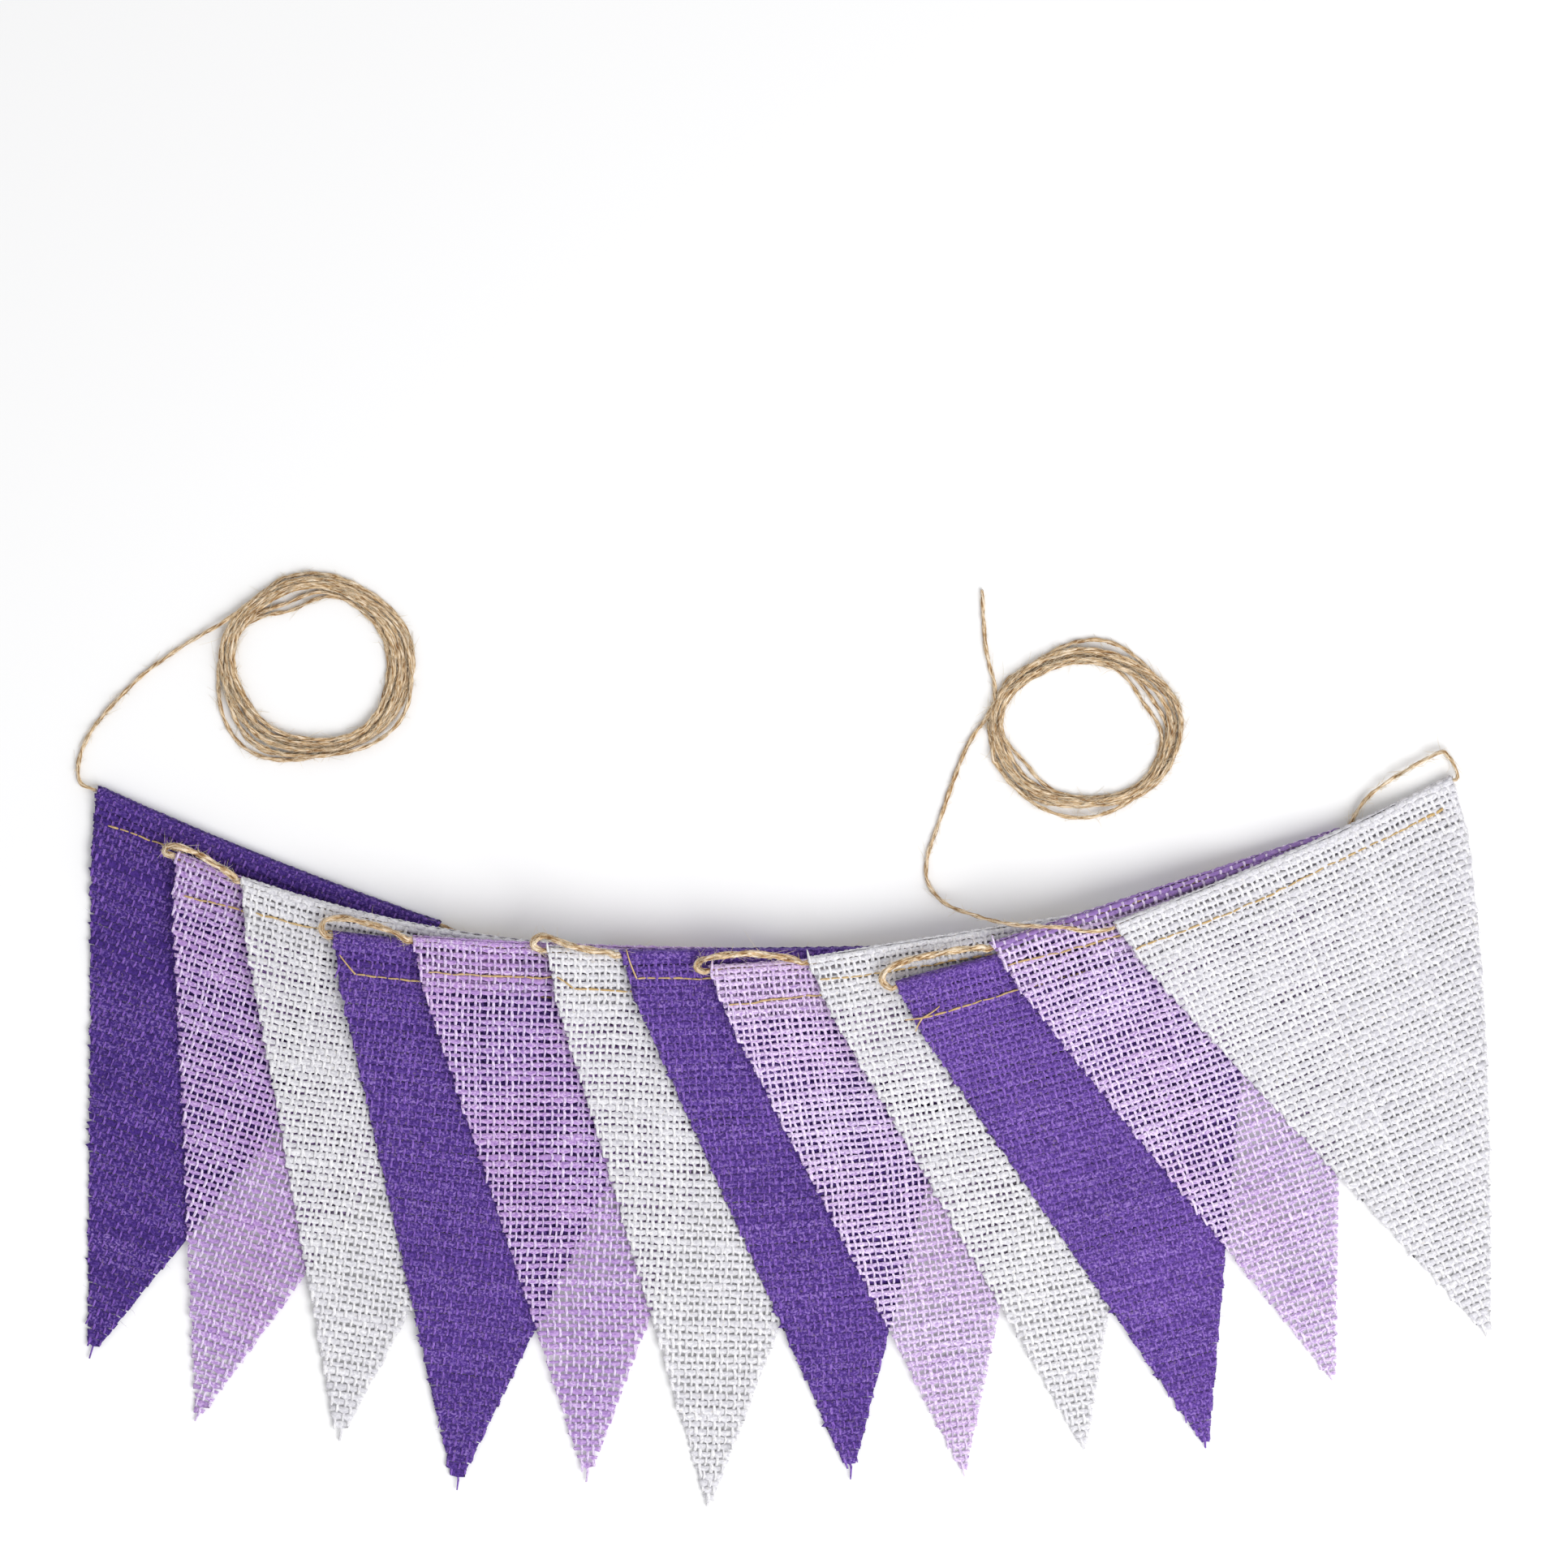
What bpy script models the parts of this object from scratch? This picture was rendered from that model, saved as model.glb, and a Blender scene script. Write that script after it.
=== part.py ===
"""Fabric bunting: twelve hessian pennants threaded on one jute twine, folded zigzag and fanned out flat.

The bunting lies on the plane z = 0 and is seen from above: x runs to the right along the fan, y runs up
from the tips to the hems. The tables below are in millimetres and the meshes in metres. The origin is
the middle of the pennants' outline, on the surface that they lie on.
"""

import math
from dataclasses import dataclass

import bmesh
import bpy

MM = 0.001

# Pennant, as cut and hemmed
HEM_WIDTH = 127.0
CLOTH = 1.0
TIP_HALF_WIDTH = 2.0
HEM_SIDE_SLANT = math.radians(13.0)
FLAP_DEPTH = 20.0
COLUMNS = 9

# Hem casing: the cloth turns round the twine and back under itself
TWINE = 1.6
FOLD_RADIUS = 1.6
FOLD_CENTRE = FOLD_RADIUS + CLOTH / 2
CASING_LIFT = 2 * FOLD_RADIUS
FLAP_LIFT = CLOTH + 0.3
HEM_HEIGHT = CASING_LIFT + CLOTH
CASING_SHOULDER = (4.0, 8.0)
FLAP_SHOULDER = (FLAP_DEPTH, 24.0)
SAG_SHOULDER = (0.0, 90.0)
BOW_SKEW = 0.8
FOLD_ANGLES = (0, 45, 90, 135, 180)
FRONT_ROWS = (150.0, 120.0, 92.0, 76.0, 64.0, 53.0, 42.0, 32.0, 24.0, 18.0, 12.0, 8.0, 5.0)
FLAP_ROWS = (10.0, FLAP_DEPTH)

# Pile: how much each pennant lifts the ones that lie on it
BODY_PITCH = 1.6
HEM_PITCH = 5.1
HEM_SHOULDER = (22.0, 62.0)
TOP_SHOULDER = (12.0, 30.0)
SIDE_SHOULDER = (4.0, 30.0)

# Coils: turned rings with a flat underside
LEFT_COIL = {"centre": (-163.2, 163.7), "radius": 28.6, "stretch": 0.96}
RIGHT_COIL = {"centre": (101.4, 141.5), "radius": 29.2, "stretch": 0.90}
COIL_WIDTH = 8.4
COIL_HEIGHT = 5.6
COIL_FLAT = 0.45
COIL_SIDE = (0.35, 0.65)
COIL_STEPS = 40

TWINE_STEP = 4.2
LOOP_CLEARANCE = 0.7
LOOP_EXIT = 2.0
LOOP_ABOVE_HEM = 3.0
TWINE_GAP = 0.3

# number, colour, top left corner, tip, sag of the hem, drop of its right end, bow of the right edge
PENNANT_TABLE = (
    (1, "purple", (-236.9, 122.7), (-240.4, -74.4), 1.5, 4.1, 0.0),
    (2, "lilac", (-209.7, 100.2), (-203.3, -96.1), 2.5, 1.5, 0.0),
    (3, "white", (-187.2, 91.6), (-154.9, -103.3), 4.6, 3.3, 0.0),
    (4, "purple", (-155.7, 73.0), (-114.5, -120.1), 0.0, 0.0, 0.0),
    (5, "lilac", (-128.7, 71.6), (-69.3, -117.0), 1.0, 2.0, 0.0),
    (6, "white", (-83.0, 68.2), (-27.6, -125.9), 1.0, 0.0, 0.0),
    (7, "purple", (-57.9, 66.5), (21.2, -115.6), 0.0, 9.5, 0.0),
    (8, "lilac", (-27.9, 61.3), (60.2, -114.8), 0.5, 8.0, 0.0),
    (9, "white", (5.6, 64.0), (101.7, -106.4), -0.5, 4.0, 0.0),
    (10, "purple", (35.6, 55.7), (143.7, -105.6), 0.0, 0.0, 0.0),
    (11, "lilac", (68.2, 69.1), (187.2, -82.7), 0.0, 2.0, 0.0),
    (12, "white", (110.0, 76.0), (240.4, -67.1), 2.0, 0.0, 5.0),
)

# Loops of twine at the left ends, from an even pennant up to the next one
LEFT_LOOPS = {
    2: ((-213.6, 99.4), (-212.6, 101.4), (-208.6, 101.4), (-202.2, 98.9),
        (-195.2, 94.7), (-189.9, 91.1)),
    4: ((-159.4, 73.4), (-158.4, 76.0), (-155.4, 76.9), (-150.7, 76.9), (-145.9, 75.7),
        (-139.5, 74.1), (-133.7, 71.8)),
    6: ((-87.0, 67.6), (-86.6, 69.7), (-83.6, 71.1), (-78.5, 69.3), (-74.1, 67.7),
        (-67.7, 66.3), (-61.8, 65.4)),
    8: ((-31.4, 60.2), (-30.4, 62.4), (-27.6, 63.4), (-22.8, 64.3), (-17.3, 64.9),
        (-10.9, 64.9), (-3.6, 64.0), (2.2, 62.9)),
    10: ((32.0, 55.4), (32.2, 58.2), (35.1, 60.4), (42.3, 63.2), (52.1, 65.2),
         (60.4, 66.5), (65.2, 67.1)),
}

# Loops at the right ends, from an odd pennant to the next: past the corner, rise over the next hem
RIGHT_LOOPS = {
    1: {"reach": 11.0, "rise": 4.5},
    3: {"reach": 7.0, "rise": 5.5},
    5: {"reach": 6.0, "rise": 2.4},
    7: {"reach": 6.0, "rise": 5.0},
    9: {"reach": 6.0, "rise": 6.0},
    11: {"reach": 2.5, "rise": 8.5},
}

# How a right loop turns: share of its reach past the hem's end, share of its rise, depth it is taken from
LOOP_START = 0.35
LOOP_START_RISE = 0.7
LOOP_TOP = HEM_WIDTH - 2.0
LOOP_TURN = (
    (0.7, 0.7, 0.2),
    (1.0, 0.4, FOLD_CENTRE),
    (0.7, 0.0, FOLD_CENTRE),
)

# Free stretches: x, y, height of the twine's middle; each lead is given from its coil to its hem
LEFT_LEAD = (
    (-194.3, 176.7, 2.4), (-201.1, 174.7, 1.2), (-208.6, 170.7, 0.9), (-221.0, 160.8, 0.9),
    (-228.4, 153.7, 0.9), (-234.6, 147.1, 0.9), (-239.6, 140.4, 0.9), (-242.9, 133.4, 0.9),
    (-243.9, 127.9, 1.0), (-242.9, 123.2, 1.5),
)
RIGHT_LEAD = (
    (67.2, 144.6, 1.1), (64.2, 140.8, 0.9), (60.2, 133.8, 0.9), (56.4, 123.9, 0.9),
    (52.1, 111.4, 0.9), (47.7, 98.3, 0.9), (47.3, 90.2, 1.2), (50.6, 84.5, 2.6),
    (55.4, 80.8, 6.6), (62.0, 78.4, 11.8), (70.2, 76.0, 17.4), (78.3, 74.7, 22.0),
    (86.5, 74.3, 24.5), (94.7, 73.9, 24.3), (101.4, 72.6, 23.0),
)
LOOSE_END = (
    (70.6, 155.5, 1.1), (68.9, 163.0, 0.9), (67.5, 170.5, 0.9), (66.8, 178.6, 0.9),
    (66.4, 188.0, 0.9), (66.2, 189.5, 0.9),
)

COLOURS = {
    "purple": (0.085, 0.035, 0.30),
    "lilac": (0.60, 0.42, 0.80),
    "white": (0.80, 0.80, 0.82),
    "twine": (0.50, 0.34, 0.19),
}


def smoothstep(value):
    """Ease from 0 to 1 with level ends."""
    value = min(max(value, 0.0), 1.0)
    return value * value * (3 - 2 * value)


def fall(distance, shoulder):
    """One up to where a shoulder starts, easing to zero over its width."""
    start, width = shoulder
    return 1 - smoothstep((distance - start) / width)


@dataclass(frozen=True)
class Pennant:
    """One hemmed pennant: where its hem starts and its tip lies."""

    number: int
    colour: str
    corner: tuple
    tip: tuple
    sag: float
    tilt: float
    bow: float

    def __post_init__(self):
        side = math.dist(self.corner, self.tip)
        half_apex = math.asin(HEM_WIDTH / 2 / side)
        side_x = (self.tip[0] - self.corner[0]) / side
        side_y = (self.tip[1] - self.corner[1]) / side
        down = (
            side_x * math.cos(half_apex) + side_y * math.sin(half_apex),
            side_y * math.cos(half_apex) - side_x * math.sin(half_apex),
        )
        object.__setattr__(self, "down", down)
        object.__setattr__(self, "along", (-down[1], down[0]))
        object.__setattr__(self, "length", side * math.cos(half_apex))

    def half_width(self, depth):
        """Half the pennant's width at a depth below the fold."""
        hem_half = HEM_WIDTH / 2 - min(depth, FLAP_DEPTH) * math.tan(HEM_SIDE_SLANT)
        if depth <= FLAP_DEPTH:
            return hem_half
        share = (depth - FLAP_DEPTH) / (self.length - FLAP_DEPTH)
        return hem_half + (TIP_HALF_WIDTH - hem_half) * share

    def reach(self, side, depth):
        """How far the cloth reaches from its middle line, for a side from -1 at the left to 1."""
        bow = self.bow * math.sin(math.pi * (max(depth, 0.0) / self.length) ** BOW_SKEW)
        return side * (self.half_width(depth) + (bow if side > 0 else 0.0))

    def place(self, across, depth):
        """Plan position from a place across the hem in millimetres and a depth below the fold."""
        middle = 2 * across / HEM_WIDTH - 1
        droop = self.sag * max(1 - middle * middle, 0.0) + self.tilt * across / HEM_WIDTH
        drop = depth + droop * fall(depth, SAG_SHOULDER)
        return (
            self.corner[0] + self.along[0] * across + self.down[0] * drop,
            self.corner[1] + self.along[1] * across + self.down[1] * drop,
        )

    def hem_depth(self, x, y):
        """How far a place lies below the hem's straight line."""
        return (x - self.corner[0]) * self.down[0] + (y - self.corner[1]) * self.down[1]

    def across(self, x, y):
        """How far a place lies along the hem from its left end."""
        return (x - self.corner[0]) * self.along[0] + (y - self.corner[1]) * self.along[1]

    def past_right_edge(self, x, y):
        """How far a place lies to the right of the right edge."""
        end = (self.corner[0] + self.along[0] * HEM_WIDTH, self.corner[1] + self.along[1] * HEM_WIDTH)
        run = math.dist(end, self.tip)
        edge_x = (self.tip[0] - end[0]) / run
        edge_y = (self.tip[1] - end[1]) / run
        return (y - end[1]) * edge_x - (x - end[0]) * edge_y

    def lift(self, x, y):
        """Height that this pennant gives to whatever lies on it."""
        depth = self.hem_depth(x, y)
        if depth < 0:
            pitch = HEM_PITCH * fall(-depth, TOP_SHOULDER)
        else:
            pitch = BODY_PITCH + (HEM_PITCH - BODY_PITCH) * fall(depth, HEM_SHOULDER)
        return pitch * fall(self.past_right_edge(x, y), SIDE_SHOULDER)


PENNANTS = tuple(Pennant(*row) for row in PENNANT_TABLE)


def ground(number, x, y):
    """Height of the underside of one pennant: the sum of the lifts of those beneath it."""
    return sum(pennant.lift(x, y) for pennant in PENNANTS[:number - 1])


def hem_rows(length):
    """Section of the cloth's middle from the tip, round the hem's fold, to the flap's raw edge."""
    rows = []
    for depth in (length,) + FRONT_ROWS:
        flap = FLAP_LIFT * fall(depth, FLAP_SHOULDER)
        casing = (CASING_LIFT - FLAP_LIFT) * fall(depth, CASING_SHOULDER)
        rows.append((depth, flap + casing + CLOTH / 2))
    for angle in FOLD_ANGLES:
        turn = math.radians(angle)
        rows.append((
            FOLD_CENTRE - FOLD_RADIUS * math.sin(turn),
            FOLD_CENTRE + FOLD_RADIUS * math.cos(turn),
        ))
    for depth in FLAP_ROWS:
        rows.append((depth, CLOTH / 2))
    return rows


def material(name, roughness=0.9):
    """A plain fibre finish in one of the table's colours."""
    finish = bpy.data.materials.get(name) or bpy.data.materials.new(name)
    finish.use_nodes = True
    shader = finish.node_tree.nodes["Principled BSDF"]
    shader.inputs["Base Color"].default_value = (*COLOURS[name], 1.0)
    shader.inputs["Roughness"].default_value = roughness
    shader.inputs["Metallic"].default_value = 0.0
    return finish


def add_object(name, data, finish):
    """Link an object that holds the data and wears the finish."""
    data.materials.append(finish)
    thing = bpy.data.objects.new(name, data)
    bpy.context.scene.collection.objects.link(thing)
    return thing


def make_pennant(pennant):
    """A sheet laid over the pennants beneath, with its hem turned under in the same piece."""
    rows = hem_rows(pennant.length)
    sheet = bmesh.new()
    bmesh.ops.create_grid(sheet, x_segments=COLUMNS, y_segments=len(rows) - 1, size=1.0)
    for vertex in sheet.verts:
        side = vertex.co.x
        depth, height = rows[round((vertex.co.y + 1) / 2 * (len(rows) - 1))]
        across = HEM_WIDTH / 2 + pennant.reach(side, depth)
        x, y = pennant.place(across, depth)
        vertex.co = (x * MM, y * MM, (ground(pennant.number, x, y) + height) * MM)
    mesh = bpy.data.meshes.new(f"pennant_{pennant.number:02d}_{pennant.colour}")
    sheet.to_mesh(mesh)
    sheet.free()
    thing = add_object(mesh.name, mesh, material(pennant.colour))
    wall = thing.modifiers.new("cloth", "SOLIDIFY")
    wall.thickness = CLOTH * MM
    wall.offset = 0.0
    wall.use_even_offset = True
    return thing


def smooth_route(points, step=TWINE_STEP):
    """Points about a step apart on a smooth curve through a route's own points."""
    places = [tuple(2 * a - b for a, b in zip(points[0], points[1]))]
    places += list(points)
    places.append(tuple(2 * a - b for a, b in zip(points[-1], points[-2])))
    route = [points[0]]
    for before, start, end, after in zip(places, places[1:], places[2:], places[3:]):
        pieces = max(1, round(math.dist(start, end) / step))
        for index in range(1, pieces + 1):
            t = index / pieces
            route.append(tuple(
                0.5 * (2 * b + (c - a) * t + (2 * a - 5 * b + 4 * c - d) * t * t
                       + (3 * b - a - 3 * c + d) * t ** 3)
                for a, b, c, d in zip(before, start, end, after)
            ))
    return route


def make_twine(name, route):
    """A round tube with closed ends along a route in millimetres."""
    curve = bpy.data.curves.new(name, "CURVE")
    curve.dimensions = "3D"
    curve.bevel_depth = TWINE / 2 * MM
    curve.bevel_resolution = 2
    curve.use_fill_caps = True
    spline = curve.splines.new("POLY")
    spline.points.add(len(route) - 1)
    for point, place in zip(spline.points, route):
        point.co = (place[0] * MM, place[1] * MM, place[2] * MM, 1.0)
    return add_object(name, curve, material("twine"))


def hem_run(pennant):
    """The twine's middle inside one hem, from its left end to its right end."""
    route = []
    for column in range(COLUMNS + 1):
        side = 2 * column / COLUMNS - 1
        across = HEM_WIDTH / 2 + side * pennant.half_width(FOLD_CENTRE)
        x, y = pennant.place(across, FOLD_CENTRE)
        route.append((x, y, ground(pennant.number, x, y) + FOLD_CENTRE))
    return route


def rising_route(start, places, end):
    """Give a loop's plan points heights that rise evenly between the two hem ends."""
    path = [start[:2], *places, end[:2]]
    runs = [0.0]
    for first, second in zip(path, path[1:]):
        runs.append(runs[-1] + math.dist(first, second))
    return [
        (x, y, start[2] + (end[2] - start[2]) * smoothstep(run / runs[-1]))
        for (x, y), run in zip(path, runs)
    ]


def left_loop(lower, start, end):
    """A loop at the left end, which lies on the lower pennant's hem and enters the next hem."""
    upper = PENNANTS[lower.number]
    lead_out = (start[0] - LOOP_EXIT * lower.along[0], start[1] - LOOP_EXIT * lower.along[1])
    lead_in = (end[0] - LOOP_EXIT * upper.along[0], end[1] - LOOP_EXIT * upper.along[1])
    places = [lead_out, *LEFT_LOOPS[lower.number], lead_in]
    route = []
    clear = HEM_HEIGHT + TWINE / 2 + LOOP_CLEARANCE
    for x, y, z in rising_route(start, places, end)[1:-1]:
        over_hem = lower.hem_depth(x, y) > -LOOP_ABOVE_HEM and lower.across(x, y) > 0.0
        if over_hem:
            z = max(z, ground(lower.number, x, y) + clear)
        route.append((x, y, z))
    return smooth_route([start] + route + [end])


def right_loop(lower, upper, start, end):
    """A loop at the right end, which passes above the next hem's fold and back into its end."""
    sizes = RIGHT_LOOPS[lower.number]
    reach, rise = sizes["reach"], sizes["rise"]
    begin = upper.across(start[0], start[1])
    spots = [(begin + LOOP_START * (HEM_WIDTH - begin), -LOOP_START_RISE * rise), (LOOP_TOP, -rise)]
    for past, lifted, depth in LOOP_TURN:
        spots.append((HEM_WIDTH + past * reach, depth - lifted * rise))
    lead_out = (start[0] + LOOP_EXIT * lower.along[0], start[1] + LOOP_EXIT * lower.along[1])
    places = [lead_out] + [upper.place(across, depth) for across, depth in spots]
    return smooth_route(rising_route(start, places, end))


def lead_route(places, pennant):
    """A free lead from its coil to the left end of a hem, where it meets the twine inside."""
    x, y, z = hem_run(pennant)[0]
    meeting = [
        (x - out * pennant.along[0], y - out * pennant.along[1], z)
        for out in (TWINE_GAP + LOOP_EXIT, TWINE_GAP)
    ]
    return smooth_route([*places, *meeting])


def whole_hem_route():
    """The twine through every hem in turn, back and forth, with its loops between."""
    route = []
    for pennant in PENNANTS:
        run = hem_run(pennant)
        if pennant.number % 2 == 0:
            run.reverse()
        if route:
            lower = PENNANTS[pennant.number - 2]
            if lower.number % 2 == 0:
                loop = left_loop(lower, route[-1], run[0])
            else:
                loop = right_loop(lower, pennant, route[-1], run[0])
            route += loop[1:-1]
        route += run
    return route


def make_coil(name, centre, radius, stretch):
    """A turned ring that stands for the wound turns, flat where it lies."""
    ring = bmesh.new()
    half_width = COIL_WIDTH / 2
    corner = COIL_FLAT * half_width
    low, high = (share * COIL_HEIGHT for share in COIL_SIDE)
    profile = (
        (radius + corner, 0.0), (radius + half_width, low),
        (radius + half_width, high), (radius + corner, COIL_HEIGHT),
        (radius - corner, COIL_HEIGHT), (radius - half_width, high),
        (radius - half_width, low), (radius - corner, 0.0),
    )
    vertices = [ring.verts.new((x * MM, 0.0, z * MM)) for x, z in profile]
    edges = [ring.edges.new(pair) for pair in zip(vertices, vertices[1:] + vertices[:1])]
    bmesh.ops.spin(
        ring, geom=vertices + edges, cent=(0, 0, 0), axis=(0, 0, 1), angle=math.tau,
        steps=COIL_STEPS, use_merge=True,
    )
    bmesh.ops.scale(ring, vec=(1.0, stretch, 1.0), verts=ring.verts)
    bmesh.ops.recalc_face_normals(ring, faces=ring.faces)
    mesh = bpy.data.meshes.new(name)
    ring.to_mesh(mesh)
    ring.free()
    mesh.shade_smooth()
    thing = add_object(name, mesh, material("twine"))
    thing.location = (centre[0] * MM, centre[1] * MM, 0.0)
    return thing


def main():
    """Clear the scene and lay out the whole bunting."""
    for thing in list(bpy.data.objects):
        bpy.data.objects.remove(thing)
    for pennant in PENNANTS:
        make_pennant(pennant)
    make_twine("twine_hem_run", whole_hem_route())
    make_twine("twine_left_lead", lead_route(LEFT_LEAD, PENNANTS[0]))
    make_twine("twine_right_lead", lead_route(RIGHT_LEAD, PENNANTS[-1]))
    make_twine("twine_loose_end", smooth_route(LOOSE_END))
    make_coil("twine_left_coil", **LEFT_COIL)
    make_coil("twine_right_coil", **RIGHT_COIL)


main()
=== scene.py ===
"""Fabric bunting: hessian pennants on one jute twine, folded up zigzag and fanned out flat.

Every pennant is woven thread by thread over the pile of those beneath it, its hem turned round the
twine in the same cloth. Sizes are in millimetres until a mesh is written, and meshes are in metres.
"""

import logging
import math
from dataclasses import dataclass, field
from enum import Enum
from typing import Iterable, Optional, Sequence

import bmesh
import bpy
import numpy as np
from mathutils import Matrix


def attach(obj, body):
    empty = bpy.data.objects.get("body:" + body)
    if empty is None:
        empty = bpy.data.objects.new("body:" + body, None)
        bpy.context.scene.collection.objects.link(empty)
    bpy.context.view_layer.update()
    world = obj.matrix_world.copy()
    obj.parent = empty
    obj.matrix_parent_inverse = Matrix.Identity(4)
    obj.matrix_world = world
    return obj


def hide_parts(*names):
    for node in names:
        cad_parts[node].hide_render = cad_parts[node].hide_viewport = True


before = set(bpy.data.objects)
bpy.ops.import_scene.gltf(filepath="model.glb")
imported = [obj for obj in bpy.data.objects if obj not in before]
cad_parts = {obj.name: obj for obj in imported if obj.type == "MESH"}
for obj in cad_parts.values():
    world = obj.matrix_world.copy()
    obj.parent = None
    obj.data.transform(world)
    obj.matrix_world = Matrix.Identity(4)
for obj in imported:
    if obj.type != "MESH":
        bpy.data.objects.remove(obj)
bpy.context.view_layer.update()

LOG = logging.getLogger("bunting")
MM = 0.001
ROOT = "root"
UP = np.array((0.0, 0.0, 1.0))

# Pennant, as cut and hemmed
HEM_WIDTH = 127.0
HEM_SIDE_SLANT = math.radians(13.0)
FLAP_DEPTH = 20.0
TIP_HALF_WIDTH = 0.5
CLOTH = 1.0

# Hem casing
FOLD_RADIUS = 1.6
FOLD_CENTRE = FOLD_RADIUS + CLOTH / 2
CASING_LIFT = 2 * FOLD_RADIUS
FLAP_LIFT = CLOTH + 0.3
HEM_HEIGHT = CASING_LIFT + CLOTH
FOLD_LENGTH = math.pi * FOLD_RADIUS

# Pile: how much each pennant lifts the ones that lie on it
BODY_PITCH = 1.6
HEM_PITCH = 5.1
HEM_SHOULDER = (22.0, 62.0)
TOP_SHOULDER = (12.0, 30.0)
SIDE_SHOULDER = (4.0, 30.0)

# Twine
LOOP_CLEARANCE = 0.7
LOOP_EXIT = 2.0
HEM_TWINE = 2.1
COIL_TWINE = 1.42
TWINE_GAP = 0.3
TWINE_STEP = 0.9
LOOSE_SWELL = 0.25
COIL_SWELL = 0.12
# The x past which the last loop is slimmer than the others
LAST_LOOP_FROM = 170.0


class Dye(Enum):
    """The colours of cloth, in the order in which they repeat."""

    PURPLE = "purple"
    LILAC = "lilac"
    WHITE = "white"


def smoothstep(value: np.ndarray) -> np.ndarray:
    """Ease from 0 to 1 with level ends."""
    value = np.clip(value, 0.0, 1.0)
    return value * value * (3 - 2 * value)


def fall(distance: np.ndarray, shoulder: tuple[float, float]) -> np.ndarray:
    """One up to where a shoulder starts, easing to zero over its width."""
    start, width = shoulder
    return 1 - smoothstep((np.asarray(distance, dtype=float) - start) / width)


def unit(vectors: np.ndarray) -> np.ndarray:
    """Vectors of length one along the last axis."""
    return vectors / np.maximum(np.linalg.norm(vectors, axis=-1, keepdims=True), 1e-9)


def wander(rng: np.random.Generator, places: np.ndarray, span: float, size: float) -> np.ndarray:
    """A smooth random line.

    Args:
        rng: The source of its random knots.
        places: Where the line is read.
        span: The distance between knots.
        size: How far it strays to either side.

    Returns:
        One value for each place.
    """
    low = float(np.min(places)) - span
    count = int((float(np.max(places)) - low) / span) + 4
    knots = rng.uniform(-size, size, count)
    at = (np.asarray(places) - low) / span
    index = np.floor(at).astype(int)
    ease = smoothstep(at - index)
    return knots[index] * (1 - ease) + knots[index + 1] * ease


def smooth_route(points: Sequence[Sequence[float]], step: float) -> np.ndarray:
    """A smooth curve through a route's own points.

    Args:
        points: The route's points, x, y and z in millimetres.
        step: The distance between the points that are returned.

    Returns:
        Points about a step apart along the curve.
    """
    spots = np.asarray(points, dtype=float)
    spots = np.vstack((2 * spots[0] - spots[1], spots, 2 * spots[-1] - spots[-2]))
    t = np.linspace(0, 1, 12, endpoint=False)[:, None]
    runs = []
    for a, b, c, d in zip(spots, spots[1:], spots[2:], spots[3:]):
        runs.append(0.5 * (
            2 * b + (c - a) * t + (2 * a - 5 * b + 4 * c - d) * t ** 2
            + (3 * b - a - 3 * c + d) * t ** 3
        ))
    return even_steps(np.vstack(runs + [spots[-2][None]]), step)


def runs_along(path: np.ndarray) -> np.ndarray:
    """Distance of each of a line's points from its start."""
    return np.concatenate(((0.0,), np.cumsum(np.linalg.norm(np.diff(path, axis=0), axis=1))))


def frame_along(path: np.ndarray, up: np.ndarray = UP) -> tuple[np.ndarray, np.ndarray]:
    """Directions square to a line of points.

    Args:
        path: The line's points.
        up: Roughly which way is up.

    Returns:
        Directions to its side and directions above it, one of each for every point.
    """
    heading = unit(np.gradient(path, axis=0))
    side = unit(np.cross(heading, up))
    return side, np.cross(side, heading)


def even_steps(path: np.ndarray, step: float) -> np.ndarray:
    """The same line, with its points evenly spaced.

    Args:
        path: The line's points.
        step: The distance between the new points.

    Returns:
        The new points, from end to end.
    """
    runs = runs_along(path)
    at = np.linspace(0, runs[-1], max(2, int(round(runs[-1] / step)) + 1))
    return np.stack([np.interp(at, runs, path[:, axis]) for axis in range(3)], axis=1)


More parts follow.
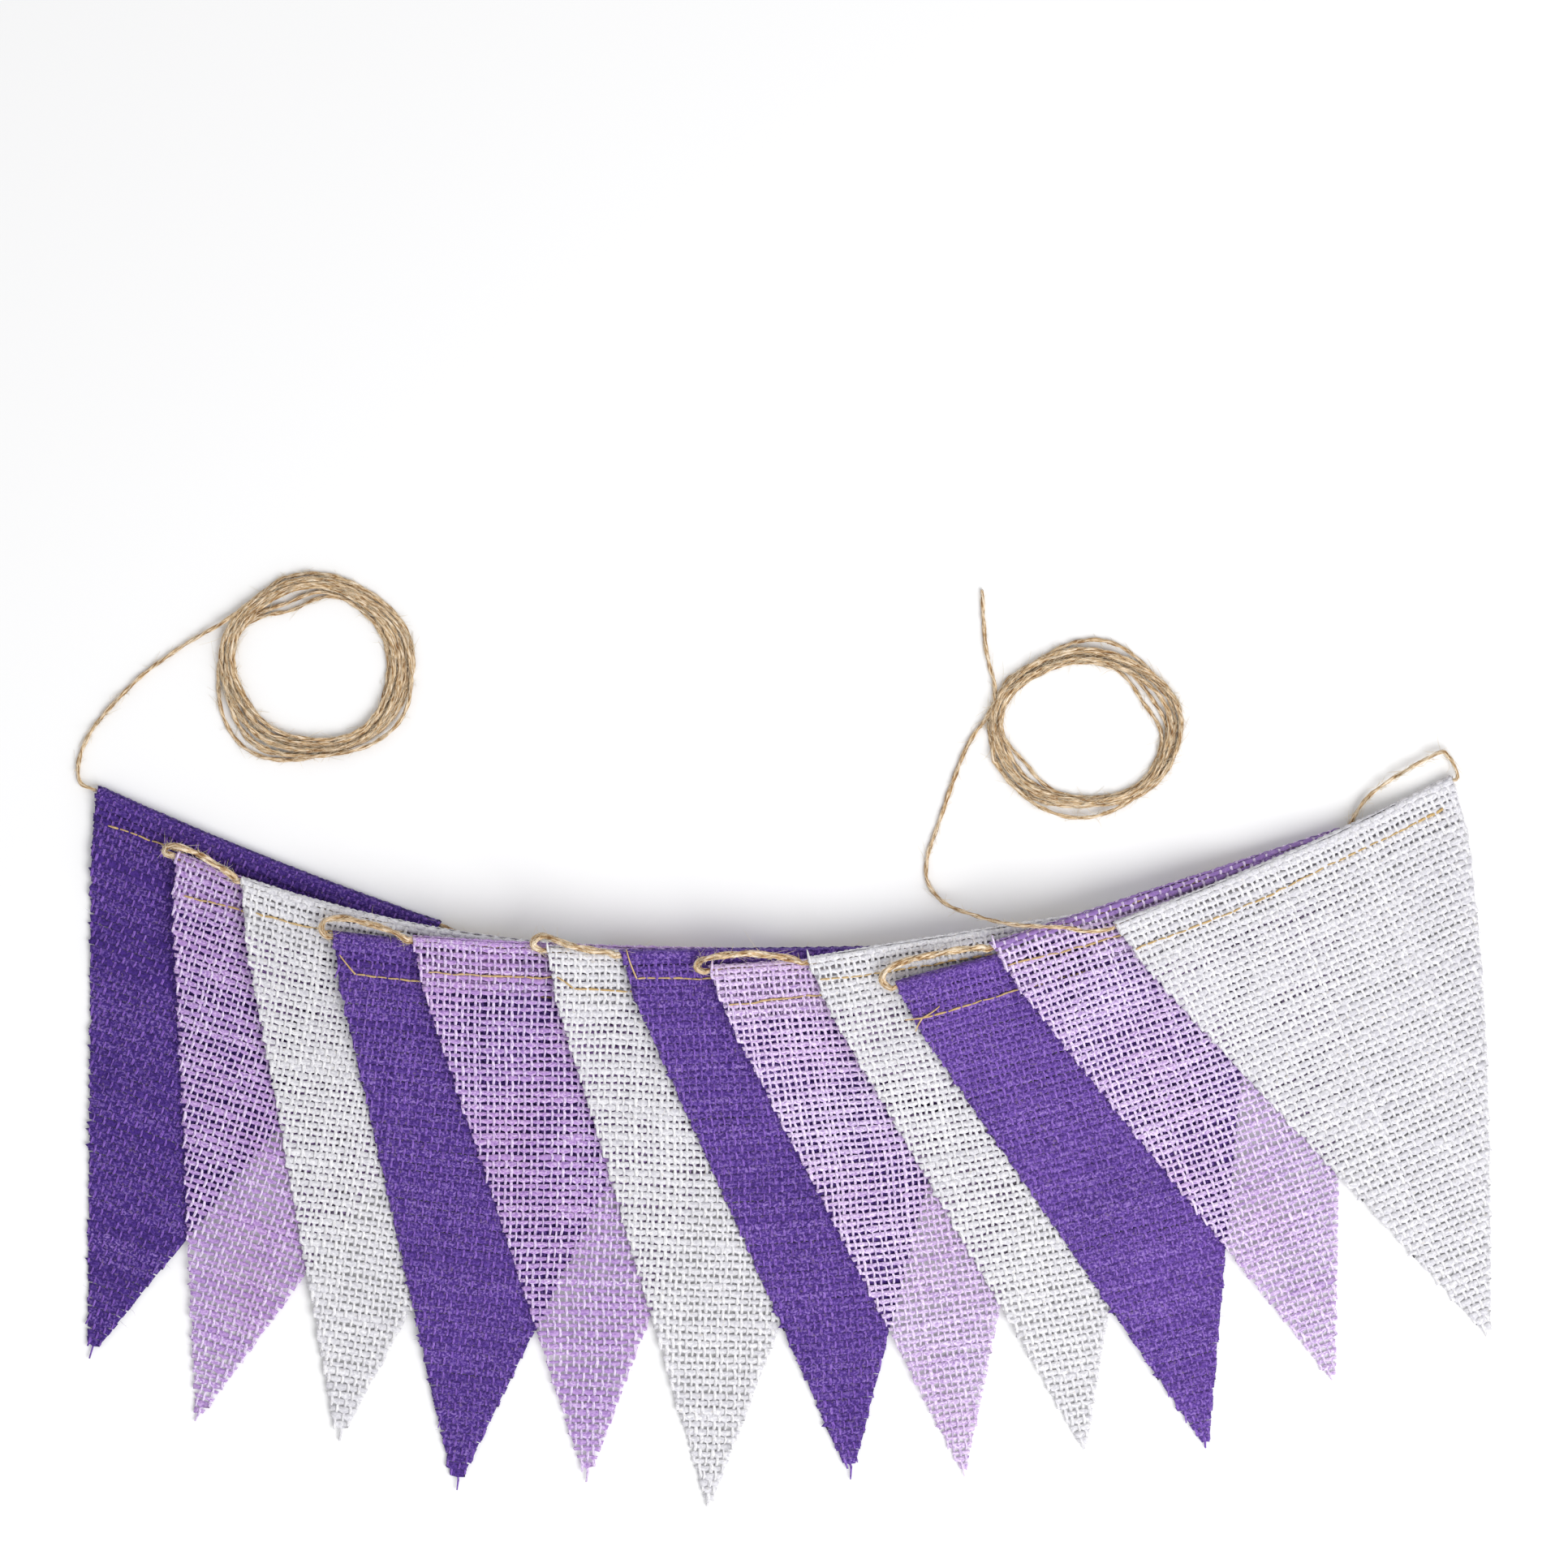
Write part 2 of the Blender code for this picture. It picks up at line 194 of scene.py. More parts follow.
@dataclass(frozen=True)
class PennantPlan:
    """Where one pennant lies, in millimetres.

    Args:
        number: Its place in the pile, from 1 at the bottom.
        dye: The colour of its cloth.
        corner: The left end of its hem.
        tip: Its tip.
        sag: How far the middle of its hem hangs below a straight line.
        tilt: How far the right end of its hem drops from square.
        fray: Length of bare threads at its tip.
        bow: How far its right edge swells out from a straight line.
        fade: How much lighter its threads are painted, and darker below zero: painted light for how
            brightly it is lit.
        fold_painted_shadow: How much darker the threads of its fold are painted, as painted shadow cast
            by the next pennant's hem.
    """

    number: int
    dye: Dye
    corner: tuple[float, float]
    tip: tuple[float, float]
    sag: float = 0.0
    tilt: float = 0.0
    fray: float = 0.0
    bow: float = 0.0
    fade: float = 0.0
    fold_painted_shadow: float = 0.0

    # The hem's sag is gone at this depth, and the bow is widest a little above the middle
    DROOP_SHOULDER = (0.0, 90.0)
    BOW_LEAN = 0.8

    @property
    def name(self) -> str:
        """The name of its solid."""
        return f"pennant_{self.number:02d}_{self.dye.value}"

    @property
    def side(self) -> float:
        """Length of its slanted left side."""
        return math.dist(self.corner, self.tip)

    @property
    def half_apex(self) -> float:
        """Half the angle at its tip."""
        return math.asin(HEM_WIDTH / 2 / self.side)

    @property
    def length(self) -> float:
        """Height from hem to tip."""
        return self.side * math.cos(self.half_apex)

    @property
    def down(self) -> np.ndarray:
        """Direction from the hem to the tip.

        Returns:
            Its x and y, of length one.
        """
        x = (self.tip[0] - self.corner[0]) / self.side
        y = (self.tip[1] - self.corner[1]) / self.side
        cos, sin = math.cos(self.half_apex), math.sin(self.half_apex)
        return np.array((x * cos + y * sin, y * cos - x * sin))

    @property
    def along(self) -> np.ndarray:
        """Direction along the hem, from left to right."""
        return np.array((-self.down[1], self.down[0]))

    def half_width(self, depth: np.ndarray) -> np.ndarray:
        """Half its width.

        Args:
            depth: Depths below the fold.

        Returns:
            One width for each depth.
        """
        depth = np.asarray(depth, dtype=float)
        hem_half = HEM_WIDTH / 2 - np.minimum(depth, FLAP_DEPTH) * math.tan(HEM_SIDE_SLANT)
        share = np.clip((depth - FLAP_DEPTH) / (self.length - FLAP_DEPTH), 0.0, 1.0)
        return hem_half + (TIP_HALF_WIDTH - hem_half) * share

    def right_half(self, depth: np.ndarray) -> np.ndarray:
        """Width of its right half at a depth below the fold, with its bow."""
        share = np.clip(np.asarray(depth, dtype=float) / self.length, 0.0, 1.0)
        return self.half_width(depth) + self.bow * np.sin(math.pi * share ** self.BOW_LEAN)

    def place(self, across: np.ndarray, depth: np.ndarray) -> np.ndarray:
        """Plan positions on the pennant.

        Args:
            across: Places along the hem, from its left end.
            depth: Depths below the fold.

        Returns:
            An x and a y for each place.
        """
        middle = 2 * np.asarray(across) / HEM_WIDTH - 1
        droop = self.sag * np.maximum(1 - middle * middle, 0.0)
        droop = droop + self.tilt * np.asarray(across) / HEM_WIDTH
        drop = depth + droop * fall(depth, self.DROOP_SHOULDER)
        return (
            np.asarray(self.corner)
            + np.multiply.outer(across, self.along)
            + np.multiply.outer(drop, self.down)
        )

    def hem_depth(self, places: np.ndarray) -> np.ndarray:
        """How far places lie below the hem's straight line."""
        return (places - np.asarray(self.corner)) @ self.down

    def across(self, places: np.ndarray) -> np.ndarray:
        """How far places lie along the hem from its left end."""
        return (places - np.asarray(self.corner)) @ self.along

    def past_right_edge(self, places: np.ndarray) -> np.ndarray:
        """How far places lie to the right of the right edge.

        Args:
            places: Plan positions.

        Returns:
            One distance for each place, less than zero on the pennant.
        """
        end = np.asarray(self.corner) + self.along * HEM_WIDTH
        edge = unit(np.asarray(self.tip) - end)
        away = places - end
        return away[..., 1] * edge[0] - away[..., 0] * edge[1]

    def lift(self, places: np.ndarray) -> np.ndarray:
        """Height that this pennant gives to whatever lies on it.

        Args:
            places: Plan positions.

        Returns:
            One height for each place.
        """
        depth = self.hem_depth(places)
        above = HEM_PITCH * fall(-depth, TOP_SHOULDER)
        below = BODY_PITCH + (HEM_PITCH - BODY_PITCH) * fall(depth, HEM_SHOULDER)
        pitch = np.where(depth < 0, above, below)
        return pitch * fall(self.past_right_edge(places), SIDE_SHOULDER)


# Each plan's fade paints its threads lighter or darker, as painted light for how brightly that pennant is
# lit.
PLANS = (
    PennantPlan(1, Dye.PURPLE, (-236.9, 122.7), (-240.4, -74.4), sag=1.5, tilt=4.1, fray=5.0, fade=-0.16),
    PennantPlan(2, Dye.LILAC, (-209.7, 100.2), (-203.3, -96.1), sag=2.5, tilt=1.5, fade=-0.14),
    PennantPlan(3, Dye.WHITE, (-187.2, 91.6), (-154.9, -103.3), sag=4.6, tilt=3.3),
    PennantPlan(4, Dye.PURPLE, (-155.7, 73.0), (-114.5, -120.1), fray=4.0, fade=0.1),
    PennantPlan(5, Dye.LILAC, (-128.7, 71.6), (-69.3, -117.0), sag=1.0, tilt=2.0, fade=-0.1),
    PennantPlan(6, Dye.WHITE, (-83.0, 68.2), (-27.6, -125.9), sag=1.0),
    PennantPlan(7, Dye.PURPLE, (-57.9, 66.5), (21.2, -115.6), tilt=9.5, fray=4.0, fade=0.14),
    PennantPlan(8, Dye.LILAC, (-27.9, 61.3), (60.2, -114.8), sag=0.5, tilt=8.0, fade=0.4),
    PennantPlan(9, Dye.WHITE, (5.6, 64.0), (101.7, -106.4), sag=-0.5, tilt=4.0, fade=0.15),
    PennantPlan(10, Dye.PURPLE, (35.6, 55.7), (143.7, -105.6), fade=0.26),
    # The eleventh's fold_painted_shadow is painted shadow where the twelfth's hem shades its fold.
    PennantPlan(11, Dye.LILAC, (68.2, 69.1), (187.2, -82.7), tilt=2.0, fade=0.3, fold_painted_shadow=5.0),
    PennantPlan(12, Dye.WHITE, (110.0, 76.0), (240.4, -67.1), sag=2.0, bow=5.0, fade=-0.05),
)

# Loops of twine at the left ends, from an even pennant up to the next one, in plan
LEFT_LOOPS = {
    2: ((-213.6, 99.4), (-212.6, 101.4), (-208.6, 101.4), (-202.2, 98.9),
        (-195.2, 94.7), (-189.9, 91.1)),
    4: ((-159.4, 73.4), (-158.4, 76.0), (-155.4, 76.9), (-150.7, 76.9), (-145.9, 75.7),
        (-139.5, 74.1), (-133.7, 71.8)),
    6: ((-87.0, 67.6), (-86.6, 69.7), (-83.6, 71.1), (-78.5, 69.3), (-74.1, 67.7),
        (-67.7, 66.3), (-61.8, 65.4)),
    8: ((-31.4, 60.2), (-30.4, 62.4), (-27.6, 63.4), (-22.8, 64.3), (-17.3, 64.9),
        (-10.9, 64.9), (-3.6, 64.0), (2.2, 62.9)),
    10: ((32.0, 55.4), (32.2, 58.2), (35.1, 60.4), (42.3, 63.2), (52.1, 65.2),
         (60.4, 66.5), (65.2, 67.1)),
}
# How far above a hem's line a left loop still clears that hem
LOOP_ABOVE_HEM = 3.0

# Loops at the right ends, from an odd pennant to the next: past the corner, rise over the next hem
RIGHT_LOOPS = {
    1: (11.0, 4.5),
    3: (7.0, 5.5),
    5: (6.0, 2.4),
    7: (6.0, 5.0),
    9: (6.0, 6.0),
    11: (2.5, 8.5),
}
# A right loop above the next hem: how far along it starts, how far up, and where its top lies
LOOP_START = 0.35
LOOP_START_RISE = 0.7
LOOP_TOP = HEM_WIDTH - 2.0
# Its turn back into the hem: shares of its reach and of its rise, and the depth from which it rises
LOOP_TURN = ((0.7, 0.7, 0.2), (1.0, 0.4, FOLD_CENTRE), (0.7, 0.0, FOLD_CENTRE))

# Free stretches: x, y, height of the twine's middle; each lead is given from its coil to its hem
LEFT_LEAD = (
    (-193.5, 178.6, 2.4), (-201.1, 174.2, 1.2), (-208.6, 169.7, 0.9), (-221.0, 160.8, 0.9),
    (-228.4, 153.7, 0.9), (-234.6, 147.1, 0.9), (-239.6, 140.4, 0.9), (-242.9, 133.4, 0.9),
    (-243.9, 127.9, 1.0), (-242.9, 123.2, 1.5),
)
RIGHT_LEAD = (
    (67.2, 144.6, 1.1), (64.2, 140.8, 0.9), (60.2, 133.8, 0.9), (56.4, 123.9, 0.9),
    (52.1, 111.4, 0.9), (47.7, 98.3, 0.9), (47.3, 90.2, 1.2), (50.6, 84.5, 2.6),
    (55.4, 80.8, 6.6), (62.0, 78.4, 11.8), (70.2, 76.0, 17.4), (78.3, 74.7, 22.0),
    (86.5, 74.3, 24.5), (94.7, 73.9, 24.3), (101.4, 72.6, 23.0),
)
LOOSE_END = (
    (70.6, 155.5, 1.1), (68.9, 163.0, 0.9), (67.5, 170.5, 0.9), (66.8, 178.6, 0.9),
    (66.4, 188.0, 0.9), (66.2, 189.5, 0.9),
)


class Pile:
    """The heap of pennants as a height over the surface."""

    RIPPLES = (
        # size, wavelength, heading in degrees, phase
        (0.22, 47.0, 12.0, 0.4),
        (0.18, 31.0, 74.0, 2.1),
        (0.16, 63.0, 131.0, 4.0),
        (0.10, 22.0, 48.0, 1.2),
    )

    @classmethod
    def ripple(cls, places: np.ndarray) -> np.ndarray:
        """Soft waves of the cloth, the same through the whole pile.

        Args:
            places: Plan positions.

        Returns:
            One height for each position.
        """
        height = np.zeros(places.shape[:-1])
        for size, wavelength, heading, phase in cls.RIPPLES:
            turn = math.radians(heading)
            along = places @ np.array((math.cos(turn), math.sin(turn)))
            height += size * (1 + np.sin(math.tau * along / wavelength + phase))
        return height

    @classmethod
    def ground(cls, number: int, places: np.ndarray) -> np.ndarray:
        """Height of the underside of one pennant.

        Args:
            number: The pennant's place in the pile.
            places: Plan positions.

        Returns:
            One height for each position.
        """
        places = np.asarray(places, dtype=float)
        height = cls.ripple(places)
        for plan in PLANS[:number - 1]:
            height = height + plan.lift(places)
        return height


class TwineRoute:
    """Where the twine runs through the hems, round its loops and out to its coils."""

    HEM_POINTS = 15
    # A point is in a hem when it is this far inside its ends, and this near its middle line
    INSIDE_ENDS = 1.0
    DEPTH_REACH = 1.2
    HEIGHT_REACH = 0.8

    @classmethod
    def hem(cls, plan: PennantPlan) -> np.ndarray:
        """The twine's middle inside one hem.

        Args:
            plan: The pennant.

        Returns:
            Points from the hem's left end to its right end.
        """
        half = float(plan.half_width(FOLD_CENTRE))
        across = HEM_WIDTH / 2 + np.linspace(-half, half, cls.HEM_POINTS)
        places = plan.place(across, np.full_like(across, FOLD_CENTRE))
        heights = Pile.ground(plan.number, places) + FOLD_CENTRE
        return np.column_stack((places, heights))

    @staticmethod
    def rising(start: np.ndarray, places: Sequence[Sequence[float]], end: np.ndarray) -> np.ndarray:
        """Give plan points heights that rise evenly between two ends.

        Args:
            start: The first end.
            places: Plan positions between the ends.
            end: The last end.

        Returns:
            The route with both its ends.
        """
        plan = np.vstack([start[:2], *[np.asarray(place) for place in places], end[:2]])
        runs = runs_along(plan)
        heights = start[2] + (end[2] - start[2]) * smoothstep(runs / runs[-1])
        return np.column_stack((plan, heights))

    @classmethod
    def left_loop(cls, lower: PennantPlan, start: np.ndarray, end: np.ndarray) -> np.ndarray:
        """A loop at the left, which lies on the lower hem and enters the next one.

        Args:
            lower: The pennant that it leaves.
            start: Where the twine leaves that hem.
            end: Where it enters the next one.

        Returns:
            The points between the two.
        """
        upper = PLANS[lower.number]
        places = [
            start[:2] - LOOP_EXIT * lower.along,
            *LEFT_LOOPS[lower.number],
            end[:2] - LOOP_EXIT * upper.along,
        ]
        route = cls.rising(start, places, end)
        clear = Pile.ground(lower.number, route[:, :2]) + HEM_HEIGHT + HEM_TWINE / 2 + LOOP_CLEARANCE
        over = lower.hem_depth(route[:, :2]) > -LOOP_ABOVE_HEM
        over &= lower.across(route[:, :2]) > 0.0
        over[0] = over[-1] = False
        route[:, 2] = np.where(over, np.maximum(route[:, 2], clear), route[:, 2])
        return route[1:-1]

    @classmethod
    def right_loop(cls, lower: PennantPlan, start: np.ndarray, end: np.ndarray) -> np.ndarray:
        """A loop at the right, which passes above the next hem's fold and back into its end.

        Args:
            lower: The pennant that it leaves.
            start: Where the twine leaves that hem.
            end: Where it enters the next one.

        Returns:
            The points between the two.
        """
        upper = PLANS[lower.number]
        reach, rise = RIGHT_LOOPS[lower.number]
        begin = float(upper.across(start[:2]))
        spots = [(begin + LOOP_START * (HEM_WIDTH - begin), -LOOP_START_RISE * rise), (LOOP_TOP, -rise)]
        spots += [(HEM_WIDTH + past * reach, depth - lifted * rise) for past, lifted, depth in LOOP_TURN]
        spots = np.array(spots)
        places = [start[:2] + LOOP_EXIT * lower.along, *upper.place(spots[:, 0], spots[:, 1])]
        return cls.rising(start, places, end)[1:-1]

    @classmethod
    def through_hems(cls) -> np.ndarray:
        """The twine through every hem in turn, back and forth, with its loops between.

        Returns:
            Points from the first hem's left end to the last hem's.
        """
        runs: list[np.ndarray] = []
        for plan in PLANS:
            run = cls.hem(plan)
            if plan.number % 2 == 0:
                run = run[::-1]
            if runs:
                lower = PLANS[plan.number - 2]
                loop = cls.left_loop if lower.number % 2 == 0 else cls.right_loop
                runs.append(loop(lower, runs[-1][-1], run[0]))
            runs.append(run)
        return np.vstack(runs)

    @classmethod
    def in_hem(cls, route: np.ndarray) -> np.ndarray:
        """Which points of a route lie inside a hem's fold.

        Args:
            route: The route's points.

        Returns:
            True or False for each point.
        """
        hidden = np.zeros(len(route), dtype=bool)
        places, heights = route[:, :2], route[:, 2]
        for plan in PLANS:
            level = Pile.ground(plan.number, places) + FOLD_CENTRE
            across = plan.across(places)
            inside = (across > cls.INSIDE_ENDS) & (across < HEM_WIDTH - cls.INSIDE_ENDS)
            depth_reach = plan.sag + plan.tilt + cls.DEPTH_REACH
            inside &= np.abs(plan.hem_depth(places) - FOLD_CENTRE) < depth_reach
            hidden |= inside & (np.abs(heights - level) < cls.HEIGHT_REACH)
        return hidden

    @classmethod
    def meeting(cls, plan: PennantPlan) -> np.ndarray:
        """Two points just outside the left end of a hem.

        Args:
            plan: The pennant.

        Returns:
            The nearer point and the farther one.
        """
        x, y, z = cls.hem(plan)[0]
        outs = (TWINE_GAP, TWINE_GAP + LOOP_EXIT)
        return np.array([(x - out * plan.along[0], y - out * plan.along[1], z) for out in outs])


@dataclass(frozen=True)
class Coil:
    """Wound turns of twine, lying flat.

    Args:
        centre: The middle of its ring.
        radius: Mean radius of its turns.
        stretch: Its height over its width, seen from above.
        start: Angle in degrees where the twine joins it.
        sweep: Turns that it makes, clockwise.
        slots: Each turn's offset from the mean radius and height, in twine diameters.
        strays: Rows of where a turn strays, over how much of a turn, and how far outwards.
        seed: Seed of its unevenness.
    """

    centre: tuple[float, float]
    radius: float
    stretch: float
    start: float
    sweep: float
    slots: tuple[tuple[float, float], ...]
    strays: tuple[tuple[float, float, float], ...]
    seed: int

    STEPS = 60
    # The last part of each turn, over which it moves to the next slot
    CHANGE_FROM = 0.72
    # Waves round the ring, of the slots' spread and of the radius: size, number, phase
    SPREAD = ((0.22, 2, 0.7), (0.14, 3, 2.0))
    SWELL = ((0.6, 2, 1.9), (0.4, 5, 0.0))
    # Unevenness of the radius and of the height: over how much of a turn, and how far
    BENDS = (0.33, 1.35)
    KINKS = (0.08, 0.10)
    HOPS = (0.2, 0.1)
    # Room under the twine, usually and at least
    ROOM = 0.15
    LEAST_ROOM = 0.05

    @staticmethod
    def waves(table: Sequence[tuple[float, int, float]], angle: np.ndarray) -> np.ndarray:
        """Sum of the waves of a table at the angles given."""
        return sum(size * np.sin(number * angle + phase) for size, number, phase in table)

    def route(self) -> np.ndarray:
        """The twine's middle along all its turns.

        Returns:
            Its points, from the lead inwards.
        """
        rng = np.random.default_rng(self.seed)
        turned = np.arange(0.0, self.sweep, 1 / self.STEPS)
        angle = np.radians(self.start) - math.tau * turned
        slot = np.minimum(np.floor(turned).astype(int), len(self.slots) - 1)
        after = np.minimum(slot + 1, len(self.slots) - 1)
        ease = smoothstep((turned - np.floor(turned) - self.CHANGE_FROM) / (1 - self.CHANGE_FROM))
        table = np.asarray(self.slots) * COIL_TWINE
        offset = table[slot] * (1 - ease)[:, None] + table[after] * ease[:, None]
        spread = 1 + self.waves(self.SPREAD, angle)
        radius = self.radius + offset[:, 0] * spread + self.waves(self.SWELL, angle)
        radius += wander(rng, turned, *self.BENDS) + wander(rng, turned, *self.KINKS)
        for middle, width, out in self.strays:
            radius += out * smoothstep(1 - np.abs(turned - middle) / width)
        height = COIL_TWINE / 2 + self.ROOM + offset[:, 1] + wander(rng, turned, *self.HOPS)
        return np.column_stack((
            self.centre[0] + radius * np.cos(angle),
            self.centre[1] + radius * np.sin(angle) * self.stretch,
            np.maximum(height, COIL_TWINE / 2 + self.LEAST_ROOM),
        ))


LEFT_COIL = Coil(
    centre=(-163.2, 163.2), radius=29.2, stretch=0.99, start=136.0, sweep=10.9,
    slots=(
        (2.4, 0.0), (1.45, 0.0), (0.5, 0.0), (-0.45, 0.0), (-1.4, 0.0), (-2.3, 0.0),
        (-1.8, 0.95), (-0.9, 0.95), (0.0, 0.95), (0.95, 0.95), (1.85, 0.95),
    ),
    strays=(
        (0.74, 0.19, 4.4), (1.72, 0.13, 3.4), (10.46, 0.12, 2.6), (4.07, 0.10, -2.6),
        (5.075, 0.13, -5.4), (10.9, 0.16, -2.4),
    ),
    seed=11,
)
RIGHT_COIL = Coil(
    centre=(101.4, 141.3), radius=30.3, stretch=0.85, start=168.0, sweep=9.0,
    slots=(
        (1.8, 0.0), (0.9, 0.0), (0.0, 0.0), (-0.9, 0.0), (-1.8, 0.0),
        (-1.3, 0.95), (-0.4, 0.95), (0.5, 0.95), (1.4, 0.95),
    ),
    strays=(
        (0.25, 0.13, 5.2), (8.72, 0.13, 4.6), (4.39, 0.12, -4.2), (3.39, 0.09, -2.4),
        (4.87, 0.12, -3.2),
    ),
    seed=23,
)


class Socket:
    """A shader socket that can be used in sums."""

    def __init__(self, tree: "NodeTree", link: object) -> None:
        """Wrap an output socket of a tree."""
        self.tree = tree
        self.link = link

    def _maths(self, operation: str, first: object, second: object) -> "Socket":
        """Add one Math node."""
        return self.tree.node("ShaderNodeMath", {"operation": operation}, {0: first, 1: second})

    def __add__(self, other: object) -> "Socket":
        """Sum."""
        return self._maths("ADD", self, other)

    __radd__ = __add__

    def __mul__(self, other: object) -> "Socket":
        """Product."""
        return self._maths("MULTIPLY", self, other)

    __rmul__ = __mul__

    def __sub__(self, other: object) -> "Socket":
        """Difference."""
        return self._maths("SUBTRACT", self, other)

    def __rsub__(self, other: object) -> "Socket":
        """Difference from a number."""
        return self._maths("SUBTRACT", other, self)

    def clamped(self) -> "Socket":
        """The value held between 0 and 1."""
        settings = {"operation": "ADD", "use_clamp": True}
        return self.tree.node("ShaderNodeMath", settings, {0: self, 1: 0.0})


class NodeTree:
    """A material under construction."""

    def __init__(self, name: str) -> None:
        """Start a material with one Principled shader.

        Args:
            name: The material's name.
        """
        self.material = bpy.data.materials.new(name)
        self.material.use_nodes = True
        self.nodes = self.material.node_tree.nodes
        self.links = self.material.node_tree.links
        self.shader = self.nodes["Principled BSDF"]

    def node(self, kind: str, settings: dict, sockets: dict, output: object = 0) -> Socket:
        """Add any node.

        Args:
            kind: The node's type.
            settings: Its properties, set first.
            sockets: A value or a Socket for each input, by name or number.
            output: The name or number of the output that is used.

        Returns:
            The chosen output.
        """
        node = self.nodes.new(kind)
        for key, value in settings.items():
            if key == "stops":
                self._stops(node.color_ramp, value)
            else:
                setattr(node, key, value)
        for key, value in sockets.items():
            self._feed(node.inputs[key], value)
        return Socket(self, node.outputs[output])

    @staticmethod
    def _stops(ramp: object, stops: Sequence[tuple[float, float]]) -> None:
        """Set a grey ramp's stops.

        Args:
            ramp: The node's colour ramp.
            stops: A position and a grey for each stop.
        """
        while len(ramp.elements) < len(stops):
            ramp.elements.new(0.5)
        for element, (position, value) in zip(ramp.elements, stops):
            element.position = position
            element.color = (value, value, value, 1.0)

    def _feed(self, socket: object, value: object) -> None:
        """Link a Socket to an input, or set its value.

        Args:
            socket: The input.
            value: A Socket, a number, a colour or a vector.
        """
        if isinstance(value, Socket):
            self.links.new(value.link, socket)
        else:
            socket.default_value = value

    def attribute(self, name: str, output: str = "Fac") -> Socket:
        """Read an attribute of the mesh."""
        return self.node("ShaderNodeAttribute", {"attribute_name": name}, {}, output)

    def stretch(self, vector: Socket, scale: tuple[float, float, float]) -> Socket:
        """A vector multiplied part by part."""
        return self.node("ShaderNodeVectorMath", {"operation": "MULTIPLY"}, {0: vector, 1: scale})

    def noise(self, vector: Socket, scale: float, detail: float = 2.0, rough: float = 0.5) -> Socket:
        """Soft noise from 0 to 1."""
        sockets = {"Vector": vector, "Scale": scale, "Detail": detail, "Roughness": rough}
        return self.node("ShaderNodeTexNoise", {}, sockets)

    def ramp(self, factor: Socket, *stops: tuple[float, float]) -> Socket:
        """A value bent through grey stops."""
        return self.node("ShaderNodeValToRGB", {"stops": stops}, {0: factor})

    def blend(self, factor: object, first: object, second: object) -> Socket:
        """One colour shading into another."""
        settings = {"data_type": "RGBA", "clamp_factor": True}
        return self.node("ShaderNodeMix", settings, {0: factor, 6: first, 7: second}, 2)

    def set(self, **sockets: object) -> None:
        """Feed the shader's sockets, with underscores for spaces."""
        for key, value in sockets.items():
            self._feed(self.shader.inputs[key.replace("_", " ")], value)

    def bump(self, height: Socket, distance: float) -> None:
        """Raise the surface by a height in metres."""
        bump = self.node("ShaderNodeBump", {}, {"Height": height, "Distance": distance}, "Normal")
        self.set(Normal=bump)


def srgb(code: str) -> tuple[float, float, float, float]:
    """A linear colour.

    Args:
        code: Its hexadecimal code, as a screen shows it.

    Returns:
        Red, green, blue and an alpha of 1.
    """
    parts = [int(code[place:place + 2], 16) / 255 for place in (0, 2, 4)]
    linear = [part / 12.92 if part <= 0.04045 else ((part + 0.055) / 1.055) ** 2.4 for part in parts]
    return (*linear, 1.0)


